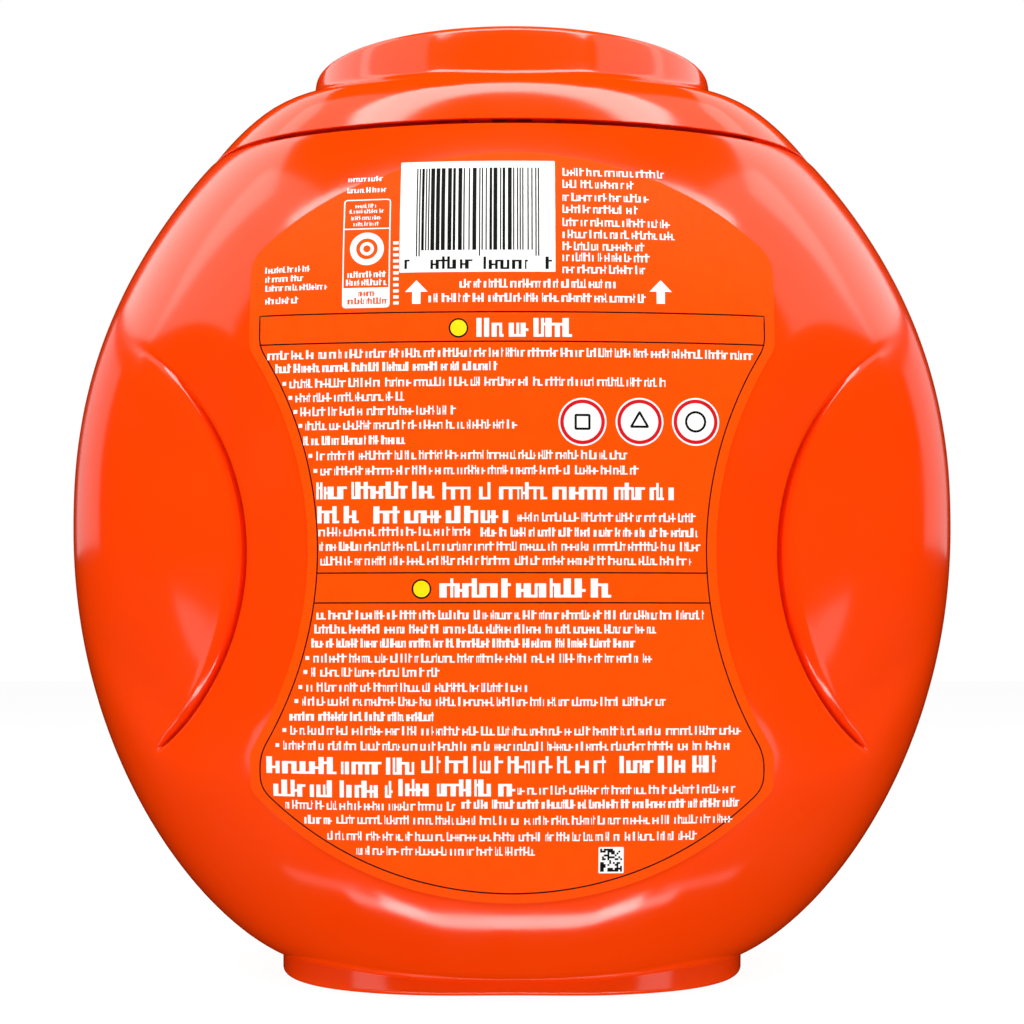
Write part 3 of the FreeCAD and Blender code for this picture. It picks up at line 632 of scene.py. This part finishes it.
def cut_windows(lid):
    parts, reach = [], TAB_HALF + TAB_GAP
    for middle in (-TAB_OFFSET, TAB_OFFSET):
        loop = [(middle - reach, CUT_LOW_Z), (middle + reach, CUT_LOW_Z),
                (middle + reach, TAB_TOP_Z + TAB_GAP), (middle - reach, TAB_TOP_Z + TAB_GAP)]
        parts.append(slab(loop, CUT_FAR, CUT_NEAR, lambda x, z, y: (x * MM, y * MM, z * MM)))
    points, faces = joined(parts)
    mesh = bpy.data.meshes.new("window")
    mesh.from_pydata(points, [], turned(faces))
    cutter = placed("window", mesh)
    window = lid.modifiers.new("window", "BOOLEAN")
    window.operation = "DIFFERENCE"
    window.solver = "EXACT"
    window.object = cutter
    bpy.context.view_layer.update()
    cut = bpy.data.meshes.new_from_object(lid.evaluated_get(bpy.context.evaluated_depsgraph_get()))
    lid.modifiers.clear()
    lid.data = cut
    bpy.data.objects.remove(cutter)
    cut.shade_smooth()
    cut.set_sharp_from_angle(angle=math.radians(LID_SHARP))


cut_windows(lid_shell)


# Lid's inner fittings: hinge knuckles, catches and stop ribs

HINGE_Y, HINGE_Z, BAR_RADIUS, HINGE_FIT, KNUCKLE_WALL = -55.2, 220.0, 1.4, 0.08, 1.2
KNUCKLE_OFFSET, KNUCKLE_WIDTH, KNUCKLE_MOUTH, KNUCKLE_STEPS = 8.0, 6.0, 2.2, 36
WEB_Y, WEB_ROOT_Y, WEB_LOW, WEB_ROOT_LOW, WEB_TOP = HINGE_Y - 1.9, -58.4, 2.1, 1.6, 2.25


def fitting(name, parts):
    mesh_piece(name, *joined(parts), LID_PLASTIC, LID_BODY, "lid_plastic")


def build_knuckles():
    inner, outer = BAR_RADIUS + HINGE_FIT, BAR_RADIUS + HINGE_FIT + KNUCKLE_WALL
    loop = []
    for radius, steps in ((outer, range(KNUCKLE_STEPS + 1)), (inner, range(KNUCKLE_STEPS, -1, -1))):
        opening = math.asin(KNUCKLE_MOUTH / 2 / radius)
        for step in steps:
            turn = -math.pi / 2 + mix(opening, 2 * math.pi - opening, step / KNUCKLE_STEPS)
            loop.append((HINGE_Y + radius * math.cos(turn), HINGE_Z + radius * math.sin(turn)))
    web = [(WEB_Y, HINGE_Z - WEB_LOW), (WEB_ROOT_Y, HINGE_Z - WEB_ROOT_LOW),
           (WEB_ROOT_Y, HINGE_Z + WEB_TOP), (WEB_Y, HINGE_Z + WEB_TOP)]
    parts = []
    for side in (-1, 1):
        low = side * KNUCKLE_OFFSET - KNUCKLE_WIDTH / 2
        count = len(loop)
        points, faces = slab(loop, low, low + KNUCKLE_WIDTH, lambda y, z, x: (x, y, z))
        # a C's two ends are faced cell by cell
        faces = faces[2:]
        for step in range(KNUCKLE_STEPS):
            back = count - 1 - step
            faces += [(step + 1, step, back, back - 1),
                      (count + step, count + step + 1, count + back - 1, count + back)]
        parts.append((points, turned(faces)))
        parts.append(slab(web, low, low + KNUCKLE_WIDTH, lambda y, z, x: (x, y, z)))
    fitting("lid_knuckles", parts)


CATCH_LOW_Z, CATCH_TOP_Z, CATCH_OUT, CATCH_IN = 217.4, 219.9, 1.4, 3.7


def build_catches():
    parts = []
    for side in (-1, 1):
        for end in (-1, 1):
            near = side * TAB_OFFSET + end * (TAB_HALF + TAB_GAP)
            xs = sorted((near, near + end * TAB_EAR))
            loop = [(x, oval_depth(MOUTH, x, CATCH_OUT)) for x in xs]
            loop += [(x, oval_depth(MOUTH, x, CATCH_IN)) for x in reversed(xs)]
            points, faces = slab(loop, CATCH_LOW_Z, CATCH_TOP_Z, lambda x, y, z: (x, y, z))
            parts.append((points, turned(faces)))
    fitting("lid_catches", parts)


STOP_INSET, STOP_WALL, STOP_START, STOP_LOW_Z, STOP_STEPS = 12.0, 1.4, 44.0, 218.75, 40
LIP_OUT, LIP_IN, LIP_LOW_Z, LIP_TOP_Z, LIP_START, LIP_STEPS = 1.15, 2.3, 214.9, 217.6, 62.0, 48


def roof_height(x, y):
    """Where the dome's inside lies above a place."""
    angle, reach = math.atan2(y, x), math.hypot(x, y)
    return halved(RIM_Z, RIM_Z + DOME_RISE - DOME_DROP, 24,
                  lambda z: dome_reach(angle, z, DOME_INSET, DOME_DROP) > reach)


def side_bars(name, out_inset, in_inset, start_x, steps, low_z, tops):
    """A bar at each side along the mouth's oval; tops gives its inner and outer top there."""
    outer_whole = oval_lengths(MOUTH, out_inset)[1]
    inner_whole = oval_lengths(MOUTH, in_inset)[1]
    start = next(step / 400 for step in range(400)
                 if oval_point(MOUTH, step / 400 * outer_whole, out_inset)[0] > start_x)
    parts = []
    for side in (-1, 1):
        rows = []
        for step in range(2 * steps + 1):
            share = mix(start, 2 - start, step / (2 * steps))
            fold, sign = (2 - share, 1) if share > 1 else (share, -1)
            out_x, out_y = oval_point(MOUTH, fold * outer_whole, out_inset)
            in_x, in_y = oval_point(MOUTH, fold * inner_whole, in_inset)
            outside, inside = (side * out_x, sign * out_y), (side * in_x, sign * in_y)
            in_top, out_top = tops(inside, outside)
            rows.append([(*outside, low_z), (*inside, low_z),
                         (*inside, in_top), (*outside, out_top)])
        parts.append(bar_of(rows, flip=side > 0))
    fitting(name, parts)


build_knuckles()
build_catches()
side_bars("lid_stop_ribs", STOP_INSET, STOP_INSET + STOP_WALL, STOP_START, STOP_STEPS, STOP_LOW_Z,
          lambda inside, outside: (roof_height(*inside) + 0.5, roof_height(*outside) + 0.3))
# a low skirt inside the rim at each side keeps light out of the seam
side_bars("lid_lip", LIP_OUT, LIP_IN, LIP_START, LIP_STEPS, LIP_LOW_Z,
          lambda inside, outside: (LIP_TOP_Z, LIP_TOP_Z))

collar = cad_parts["collar"]
collar.data.materials.clear()
collar.data.materials.append(BASE_PLASTIC)


# Rear label. Everything on it is a thin closed form laid over the tub's surface,
# a layer between two heights above it.

FILM, INK, OVERPRINT, SPOT_RIM = (0.08, 0.25), (0.22, 0.27), (0.26, 0.29), (0.22, 0.275)
LABEL_TOP_Z, LABEL_SIDE_TOP, LABEL_HALF = 207.0, 181.0, 63.2
LABEL_REACH, LABEL_WAIST, LABEL_FOOT_RADIUS, LABEL_BOTTOM_Z = 137.0, 88.3, 88.7, 25.8
LABEL_ARCH = LABEL_TOP_Z - LABEL_SIDE_TOP
LABEL_TOP_RADIUS = (LABEL_HALF ** 2 + LABEL_ARCH ** 2) / (2 * LABEL_ARCH)
LABEL_CORNERS = (2.0, 4.0, 4.0, 2.0, 2.0, 2.0, 2.0, 2.0)
FILM_CELL, BLOCK_CELL, DISC_CELL, ARROW_CELL, EDGE_SPACE = 2.6, 2.0, 1.2, 3.0, 0.45
LABEL_SHARP = 50


def on_back(x, z, lift):
    return x, -(back_depth(x, z) + lift), z


def arc_path(centre, radius, start, end, step=2.0):
    """Points on an arc between two angles in degrees, in the label's plane."""
    count = max(2, int(abs(math.radians(end - start)) * radius / step) + 1)
    angles = [math.radians(mix(start, end, share / count)) for share in range(count + 1)]
    return [(centre[0] + radius * math.cos(angle), centre[1] + radius * math.sin(angle))
            for angle in angles]


def line_path(start, end, step=2.0):
    count = max(1, int(math.dist(start, end) / step) + 1)
    return [(mix(start[0], end[0], share / count), mix(start[1], end[1], share / count))
            for share in range(count + 1)]


def rounded_loop(paths, radii):
    """A closed loop of paths; each corner, after its path, is rounded by its distance."""
    loop = []
    starts = [trimmed(path, radii[index - 1]) for index, path in enumerate(paths)]
    ends = [trimmed(path[::-1], radii[index])[::-1] for index, path in enumerate(starts)]
    for index, path in enumerate(ends):
        following = ends[(index + 1) % len(paths)][0]
        loop += path
        if radii[index] > 0:
            loop += bent(path[-1], paths[index][-1], following, CORNER_STEPS)
        elif math.dist(path[-1], following) < 1e-6:
            loop.pop()
    return loop


def rounded_polygon(tips, corner, step):
    sides = [line_path(a, b, step) for a, b in zip(tips, tips[1:] + tips[:1])]
    return rounded_loop(sides, [corner] * len(tips))


def oblong(x0, z0, x1, z1, corner, step):
    return rounded_polygon([(x0, z0), (x1, z0), (x1, z1), (x0, z1)], corner, step)


def within(point, loop):
    x, z = point
    inside = False
    for (x0, z0), (x1, z1) in zip(loop, loop[1:] + loop[:1]):
        if (z0 > z) != (z1 > z) and x < (x1 - x0) * (z - z0) / (z1 - z0) + x0:
            inside = not inside
    return inside


def patch(loop, layer, cell):
    """A thin closed sheet inside a loop, laid over the back."""
    xs, zs = [x for x, _ in loop], [z for _, z in loop]
    places = list(loop)
    for column in range(int((max(xs) - min(xs)) / cell) + 1):
        for row in range(int((max(zs) - min(zs)) / cell) + 1):
            place = (min(xs) + (column + 0.5) * cell, min(zs) + (row + 0.5) * cell)
            nearest = min(math.dist(place, edge) for edge in loop)
            if within(place, loop) and nearest > cell * EDGE_SPACE:
                places.append(place)
    flat, _, triangles, _, _, _ = delaunay_2d_cdt(
        [Vector(place) for place in places], [], [list(range(len(loop)))], 1, 1e-5)
    count = len(flat)
    low, top = layer
    points = [on_back(x, z, top) for x, z in flat] + [on_back(x, z, low) for x, z in flat]
    faces, edges = [], {}
    for a, b, c in triangles:
        if (flat[b] - flat[a]).cross(flat[c] - flat[a]) < 0:
            b, c = c, b
        faces += [(a, b, c), (count + a, count + c, count + b)]
        edges.update(dict.fromkeys(((a, b), (b, c), (c, a))))
    faces += [(end, start, count + start, count + end) for start, end in edges
              if (end, start) not in edges]
    return points, faces


def strip(path, width, layer=INK, closed=False):
    """A line of constant width as a thin closed form."""
    count = len(path)
    low, top = layer
    rows = []
    for index, (x, z) in enumerate(path):
        before = path[index - 1] if closed or index else path[index]
        after = path[(index + 1) % count] if closed or index < count - 1 else path[index]
        along = Vector((after[0] - before[0], after[1] - before[1])).normalized()
        across_x, across_z = -along.y * width / 2, along.x * width / 2
        left, right = (x + across_x, z + across_z), (x - across_x, z - across_z)
        rows.append([on_back(*left, top), on_back(*right, top),
                     on_back(*right, low), on_back(*left, low)])
    return bar_of(rows, closed)


def bar(x0, x1, z0, z1, layer=INK):
    """An upright block of print."""
    middle = (x0 + x1) / 2
    return strip(line_path((middle, z0), (middle, z1), 3.0), abs(x1 - x0), layer)


def block(x0, z0, x1, z1):
    """A filled oblong of print."""
    return patch(oblong(x0, z0, x1, z1, 0.3, 1.5), INK, BLOCK_CELL)


def ring_mark(centre, radius, width, layer=INK):
    return strip(arc_path(centre, radius - width / 2, 0, 360, 0.5)[:-1], width, layer, True)


def disc_mark(centre, radius):
    return patch(arc_path(centre, radius, 0, 360, 0.4)[:-1], INK, DISC_CELL)


# Places on the label are written as the photograph's pixels and read back onto the surface

EYE_DISTANCE, EYE_Z, FOCAL_PIXELS, MIDDLE_X, HORIZON_Y = 520.0, 87.4, 1870.0, 511.5, 645.0
PICTURE_SIZE, USUAL_DEPTH = 1024, 77.0
PIXEL = (EYE_DISTANCE - USUAL_DEPTH) / FOCAL_PIXELS


def spot(column, row):
    depth = USUAL_DEPTH
    for _ in range(4):
        scale = (EYE_DISTANCE - depth) / FOCAL_PIXELS
        x, z = (column - MIDDLE_X) * scale, EYE_Z + (HORIZON_Y - row) * scale
        depth = back_depth(x, z)
    return x, z


def box(left, top, right, low):
    """An oblong's edges in millimetres from its edges in pixels."""
    (x0, z1), (x1, z0) = spot(left, top), spot(right, low)
    return x0, z0, x1, z1


chance = random.Random(24)
PITCH, WORD_GAP, JOIN_HEIGHT = 0.50, 0.55, 0.14
STROKES, RISES = (0.45, 0.8, 0.8, 1.0, 1.15), (0.74, 0.74, 0.74, 1.0, 1.0)
JOINS = (None, 0.0, 0.3, 0.6, 0.6)


def greeked(layer, row, left, right, tall=9, weight=0.42):
    """A line of unreadable marks that stands for text: words of a few strokes, some joined."""
    x, z = spot(left, row)
    end = spot(right, row)[0]
    height = tall * PIXEL
    base = z - height / 2
    pitch = height * PITCH
    parts = []
    while x < end - pitch * 0.4:
        for _ in range(chance.randint(2, 8)):
            width = pitch * chance.choice(STROKES)
            if x + width * 0.7 > end:
                break
            rise = chance.choice(RISES)
            parts.append(bar(x, x + width * weight, base, base + height * rise, layer))
            join = chance.choice(JOINS)
            if join is not None:
                parts.append(bar(x + width * weight, x + width, base + height * join,
                                 base + height * (join + JOIN_HEIGHT), layer))
            x += width
        x += pitch * WORD_GAP
    return parts


def label_loop(half, waist, side_top, foot_path, top_path, corners):
    """The waisted outline, counter-clockwise from its lower right corner."""
    reach = math.degrees(math.acos((LABEL_REACH - half) / waist))
    rise = waist * math.sin(math.radians(reach))
    high, low, foot_side = GRIP_Z + rise, GRIP_Z - rise, foot_path[0][1]
    paths = [arc_path((LABEL_REACH, GRIP_Z), waist, 180 + reach, 180 - reach),
             line_path((half, high), (half, side_top)), top_path,
             line_path((-half, side_top), (-half, high)),
             arc_path((-LABEL_REACH, GRIP_Z), waist, reach, -reach),
             line_path((-half, low), (-half, foot_side)), foot_path,
             line_path((half, foot_side), (half, low))]
    return rounded_loop(paths, corners)


def arch(half, radius, height, direction):
    """An arc as wide as the label that reaches a height: up at 90, down at 270."""
    reach = math.degrees(math.asin(half / radius))
    middle = height - radius if direction == 90 else height + radius
    return arc_path((0, middle), radius, direction - reach, direction + reach)


film_loop = label_loop(LABEL_HALF, LABEL_WAIST, LABEL_SIDE_TOP,
                       arch(LABEL_HALF, LABEL_FOOT_RADIUS, LABEL_BOTTOM_Z, 270),
                       arch(LABEL_HALF, LABEL_TOP_RADIUS, LABEL_TOP_Z, 90), LABEL_CORNERS)
film = mesh_piece("label_film", *patch(film_loop, FILM, FILM_CELL), LABEL_FILM, TUB_BODY,
                  "label_film", LABEL_SHARP)
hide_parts("label_back")

PANEL_HALF, PANEL_WAIST, PANEL_TOP_Z, PANEL_RULE_Z = 60.6, 90.7, 166.4, 159.3
PANEL_FOOT_RADIUS, PANEL_BOTTOM_Z = 86.3, 28.2
PANEL_CORNERS = (2.5, 0.0, 0.0, 2.5, 3.5, 3.0, 3.0, 3.5)
BAND_TOP_Z, BAND_LOW_Z, FRAME_LINE = 104.5, 97.4, 0.32

black, white, yellow, red, orange = [], [], [], [], []
panel_loop = label_loop(PANEL_HALF, PANEL_WAIST, PANEL_TOP_Z,
                        arch(PANEL_HALF, PANEL_FOOT_RADIUS, PANEL_BOTTOM_Z, 270),
                        line_path((PANEL_HALF, PANEL_TOP_Z), (-PANEL_HALF, PANEL_TOP_Z)),
                        PANEL_CORNERS)
black.append(strip(panel_loop, FRAME_LINE, closed=True))
black.append(strip(line_path((-PANEL_HALF, PANEL_RULE_Z), (PANEL_HALF, PANEL_RULE_Z)), FRAME_LINE))
for height in (BAND_TOP_Z, BAND_LOW_Z):
    half = LABEL_REACH - math.sqrt(PANEL_WAIST ** 2 - (height - GRIP_Z) ** 2)
    black.append(strip(line_path((-half, height), (half, height)), FRAME_LINE))

# barcode panel with plain bars
CODE_BOX, CODE_ENDS, CODE_MIDDLE, CODE_ROWS = (401, 163, 555, 272), (416, 540), (478, 209), (168, 250, 256)
CODE_MODULES, CODE_BARS, CODE_SPACES = 95, (1, 1, 1, 2, 2, 3), (1, 1, 2, 2, 3)
white.append(block(*box(*CODE_BOX)))
bars_left, bars_right = [spot(column, CODE_MIDDLE[1])[0] for column in CODE_ENDS]
bars_top, bars_low, guard_low = [spot(CODE_MIDDLE[0], row)[1] for row in CODE_ROWS]
module = (bars_right - bars_left) / CODE_MODULES
place = 0
while place < CODE_MODULES:
    thick = chance.choice(CODE_BARS)
    guard = place < 4 or 44 < place < 50 or place > 90
    thick = min(1 if guard else thick, CODE_MODULES - place)
    start = bars_left + place * module
    black.append(bar(start, start + thick * module, guard_low if guard else bars_low, bars_top,
                     OVERPRINT))
    place += thick + (1 if guard else chance.choice(CODE_SPACES))

# lines of text: row, left and right ends, height and weight of the strokes
UNDER_CODE = (
    (263, 404, 410, 13, .5), (263, 430, 475, 13, .5), (263, 483, 528, 13, .5), (263, 545, 551, 13, .5),
)
BESIDE_CODE = (
    (172, 562, 663), (184, 562, 634), (197, 562, 648), (209, 562, 637), (222, 562, 669), (234, 562, 676),
    (246, 562, 643), (257, 562, 649), (269, 562, 644), (180, 348, 384, 6, .5), (191, 347, 386, 6, .5),
    (206.5, 355, 377, 4.5, .45), (212, 349, 384, 4.5, .45), (218.5, 351, 382, 4.5, .45),
    (224.5, 353, 379, 4.5, .45), (275, 347, 386, 6.5, .55), (283, 345.5, 387, 6.5, .55),
)
ON_WHITE = ((293.5, 358, 375, 6.5, .55), (301.5, 347, 386, 6.5, .55))
LINES = (
    (271, 265, 311, 6.5, .5), (280, 265, 303, 6.5, .5), (289, 265, 327, 6.5, .5),
    (301.5, 265, 298, 7, .5), (283.5, 459, 617, 9, .5), (298, 428, 648, 9, .5),
    (327.5, 476, 577, 19, .66), (588, 439, 614, 19, .66), (356, 267, 757, 9, .48),
    (369, 275, 497, 9, .62), (384, 289, 666), (398, 295, 405), (412, 300, 454), (426, 305, 518),
    (441, 303, 405, 9, .62), (456, 316, 630), (471, 320, 641), (491, 316, 437, 17, .62),
    (491, 442, 546, 17, .42), (491, 552, 675, 17, .62), (515, 317, 368, 17, .62),
    (515, 373, 512, 17, .62), (517, 517, 700, 9, .4), (532, 318, 474, 9, .4), (532, 480, 698, 9, .56),
    (546.5, 319, 361, 9, .60), (546.5, 364, 699, 9, .4), (561, 320, 692, 9, .4), (615, 316, 705, 9, .50),
    (629, 314, 657, 9, .50), (643, 311, 637, 9, .62), (658, 313, 653), (672, 311, 440), (687, 306, 530),
    (701, 302, 665), (716, 289, 437, 9, .62), (730, 290, 741), (745, 283, 734),
    (764.5, 266, 415, 17, .62), (764.5, 421, 613, 17, .42), (764.5, 619, 717, 17, .62),
    (787.5, 273, 393, 17, .62), (787.5, 398, 513, 17, .62), (790, 517, 736, 9, .4),
    (804, 285, 457, 9, .4), (804, 461, 740, 9, .60), (819, 304, 333, 9, .60), (819, 336, 732, 9, .4),
    (835, 327, 695, 9, .4), (850, 356, 534, 9, .4),
)
for parts, lines, layer in ((black, UNDER_CODE, OVERPRINT), (white, BESIDE_CODE, INK),
                            (orange, ON_WHITE, OVERPRINT), (white, LINES, INK)):
    for line in lines:
        parts += greeked(layer, *line)
BULLETS = ((384, 284), (398, 290), (412, 295), (426, 300), (456, 310), (471, 315), (658, 307),
           (672, 305), (687, 300), (701, 296), (730, 284), (745, 277))
BULLET_HALF = 0.45
for row, column in BULLETS:
    x, z = spot(column, row)
    white.append(bar(x - BULLET_HALF, x + BULLET_HALF, z - BULLET_HALF, z + BULLET_HALF))

# the small boxes beside the barcode: a plain ring in the middle one, a row of ticks beside them
BOX_EDGES, BOX_MIDDLE, BOX_RULES, BOX_WHITE = (344.5, 201, 388.5, 307), 366, (229, 288.5), 289
RING_CENTRE, TICK_COLUMN, TICK_ROWS = (366.5, 249), 395.5, range(243, 304, 6)
BOX_LINE = 0.3
box_left, box_low, box_right, box_top = box(*BOX_EDGES)
white.append(strip(oblong(box_left, box_low, box_right, box_top, 0.8, 2.0), BOX_LINE, closed=True))
white.append(block(box_left, box_low, box_right, spot(BOX_MIDDLE, BOX_WHITE)[1]))
for row in BOX_RULES:
    height = spot(BOX_MIDDLE, row)[1]
    white.append(strip(line_path((box_left, height), (box_right, height)), BOX_LINE))
for radius, width in ((4.1, 1.5), (1.7, 0.8)):
    white.append(ring_mark(spot(*RING_CENTRE), radius, width))
for row in TICK_ROWS:
    x, z = spot(TICK_COLUMN, row)
    white.append(bar(x - 0.65, x + 0.65, z - 0.4, z + 0.35))

# two plain arrows that point up
ARROW_COLUMNS, ARROW_ROWS, ARROW_STEM, ARROW_HEAD = (416, 660), (280.5, 292, 304), 1.0, 2.7
for column in ARROW_COLUMNS:
    (x, tip), (_, shoulder), (_, tail) = [spot(column, row) for row in ARROW_ROWS]
    white.append(patch([(x - ARROW_STEM, tail), (x + ARROW_STEM, tail), (x + ARROW_STEM, shoulder),
                        (x + ARROW_HEAD, shoulder), (x, tip), (x - ARROW_HEAD, shoulder),
                        (x - ARROW_STEM, shoulder)], INK, ARROW_CELL))

# a plain yellow spot before each heading
for column, row in ((458, 328), (421, 589)):
    yellow.append(disc_mark(spot(column, row), 2.0))
    black.append(ring_mark(spot(column, row), 2.35, 0.4, SPOT_RIM))

# three round marks, each with a plain outline shape of so many corners
MARKS, MARK_ROW, MARK_REACH, MARK_LINE = ((582, 4), (639, 3), (695, 24)), 422, 2.3, 0.55
for column, corners in MARKS:
    x, z = spot(column, MARK_ROW)
    first = math.pi / 4 if corners == 4 else math.pi / 2
    angles = [first + 2 * math.pi * corner / corners for corner in range(corners)]
    tips = [(x + MARK_REACH * math.cos(angle), z + MARK_REACH * math.sin(angle)) for angle in angles]
    black.append(strip(rounded_polygon(tips, 0.15, 0.5), MARK_LINE, OVERPRINT, True))
    white.append(disc_mark((x, z), 5.7))
    red.append(ring_mark((x, z), 5.3, 0.85, OVERPRINT))

# small square of cells
GRID_BOX, CELLS, GRID_EDGE, GRID_FILLED = (598, 847, 623, 873), 12, 0.4, 0.52
grid_left, grid_low, grid_right, grid_top = box(*GRID_BOX)
white.append(block(grid_left, grid_low, grid_right, grid_top))
cell_x = (grid_right - grid_left - 2 * GRID_EDGE) / CELLS
cell_z = (grid_top - grid_low - 2 * GRID_EDGE) / CELLS
for row in range(CELLS):
    for column in range(CELLS):
        if chance.random() < GRID_FILLED:
            x, z = grid_left + GRID_EDGE + column * cell_x, grid_low + GRID_EDGE + row * cell_z
            black.append(bar(x, x + cell_x, z, z + cell_z, OVERPRINT))

for name, parts, material in (("white", white, WHITE_INK), ("black", black, BLACK_INK),
                              ("yellow", yellow, YELLOW_INK), ("red", red, RED_INK),
                              ("orange", orange, LABEL_FILM)):
    mesh_piece("print_" + name, *joined(parts), material, TUB_BODY, "label_film", LABEL_SHARP)


# Stage: a plain pale floor, and a background that the camera sees as white

CLEAR_WHITE = (1, 1, 1, 1)
FLOOR_SHADE, FLOOR_SHADOW, FLOOR_GLOW, AMBIENT = 0.9, 0.10, 1.06, 0.25


def camera_sees(tree):
    """A light path node, and a value that is one for what the camera sees."""
    path, seen = node(tree, "LightPath"), node(tree, "Math")
    seen.operation = "MAXIMUM"
    tree.links.new(path.outputs["Is Camera Ray"], seen.inputs[0])
    tree.links.new(path.outputs["Is Transmission Ray"], seen.inputs[1])
    return path, seen.outputs[0]


def blended(tree, share, first, second):
    mixer = node(tree, "MixShader")
    for source, socket in ((share, 0), (first, 1), (second, 2)):
        tree.links.new(source, mixer.inputs[socket])
    return mixer.outputs["Shader"]


def background(tree, strength):
    return node(tree, "Background", Color=CLEAR_WHITE, Strength=strength).outputs[0]


bpy.ops.mesh.primitive_plane_add(size=8.0, location=(0, 0, -0.0002))
floor = bpy.context.object
floor.name = "floor"
material, tree, shader, output = new_material("floor")
shader.inputs["Base Color"].default_value = (FLOOR_SHADE, FLOOR_SHADE, FLOOR_SHADE, 1)
shader.inputs["Roughness"].default_value = 0.9
kept = node(tree, "Math")
kept.operation = "MULTIPLY"
kept.inputs[1].default_value = 1 - FLOOR_SHADOW
tree.links.new(camera_sees(tree)[1], kept.inputs[0])
glow = node(tree, "Emission", Color=CLEAR_WHITE, Strength=FLOOR_GLOW)
tree.links.new(blended(tree, kept.outputs[0], shader.outputs["BSDF"], glow.outputs["Emission"]),
               output.inputs["Surface"])
floor.data.materials.append(material)
floor.visible_diffuse = False
floor.visible_glossy = False
floor.visible_shadow = False

world = bpy.data.worlds.new("studio")
bpy.context.scene.world = world
world.use_nodes = True
tree = world.node_tree
tree.nodes.clear()
path, seen = camera_sees(tree)
reflected = blended(tree, path.outputs["Is Glossy Ray"], background(tree, AMBIENT),
                    background(tree, 0.0))
tree.links.new(blended(tree, seen, reflected, background(tree, 1.0)),
               node(tree, "OutputWorld").inputs["Surface"])

LAMP_DISTANCE, LAMP_AIM_Z = 1.3, 0.13


def softbox(name, azimuth, elevation, width, height, radiance):
    """A panel lamp in a direction from the tub: 0 is the camera's side, 90 the left.
    Its width and height are angles, and its radiance is what a mirror would show."""
    turn, rise = math.radians(azimuth), math.radians(elevation)
    away = Vector((-math.sin(turn) * math.cos(rise), -math.cos(turn) * math.cos(rise),
                   math.sin(rise)))
    lamp = bpy.data.lights.new(name, "AREA")
    lamp.shape = "RECTANGLE"
    lamp.size = 2 * LAMP_DISTANCE * math.tan(math.radians(width / 2))
    lamp.size_y = 2 * LAMP_DISTANCE * math.tan(math.radians(height / 2))
    lamp.energy = 4 * radiance * lamp.size * lamp.size_y
    holder = placed(name, lamp)
    holder.location = away * LAMP_DISTANCE + Vector((0, 0, LAMP_AIM_Z))
    holder.rotation_euler = (-away).to_track_quat("-Z", "Y").to_euler()
    return holder


# name, azimuth, elevation, width, height, radiance; the side lamps stand on both sides
MIDDLE_LAMPS = (("top_front", 0, 55, 68, 16, 7.7), ("low_front", 0, -50, 46, 8, 7.5))
SIDE_LAMPS = (("side_front", 75, 40, 40, 36, 1.0), ("side_rear", 117, 40, 44, 36, 1.3),
              ("edge", 128, 10, 32, 18, 0.45), ("low", 47, -17, 20, 20, 1.2),
              ("low_mid", 33, -47, 22, 5, 3.0), ("low_tail", 56, -43, 26, 3, 1.0))
FILLS = (("fill_left", 80, -25), ("fill_right", -80, -25), ("fill_rear", 180, 20))
for lamp in MIDDLE_LAMPS:
    softbox(*lamp)
for name, azimuth, *rest in SIDE_LAMPS:
    softbox(name + "_left", azimuth, *rest)
    softbox(name + "_right", -azimuth, *rest)
# light that the glossy surfaces don't mirror: low from both sides, and for the far side
for name, azimuth, elevation in FILLS:
    softbox(name, azimuth, elevation, 70, 40, 0.5).visible_glossy = False

lens = bpy.data.cameras.new("camera")
lens.sensor_width = 36.0
lens.lens = lens.sensor_width * FOCAL_PIXELS / PICTURE_SIZE
lens.shift_y = (HORIZON_Y - PICTURE_SIZE / 2) / PICTURE_SIZE
lens.clip_start = 0.01
camera = placed("camera", lens)
camera.location = (0, -EYE_DISTANCE * MM, EYE_Z * MM)
camera.rotation_euler = (math.radians(90), 0, 0)
bpy.context.scene.camera = camera
bpy.context.scene.view_settings.view_transform = "Standard"
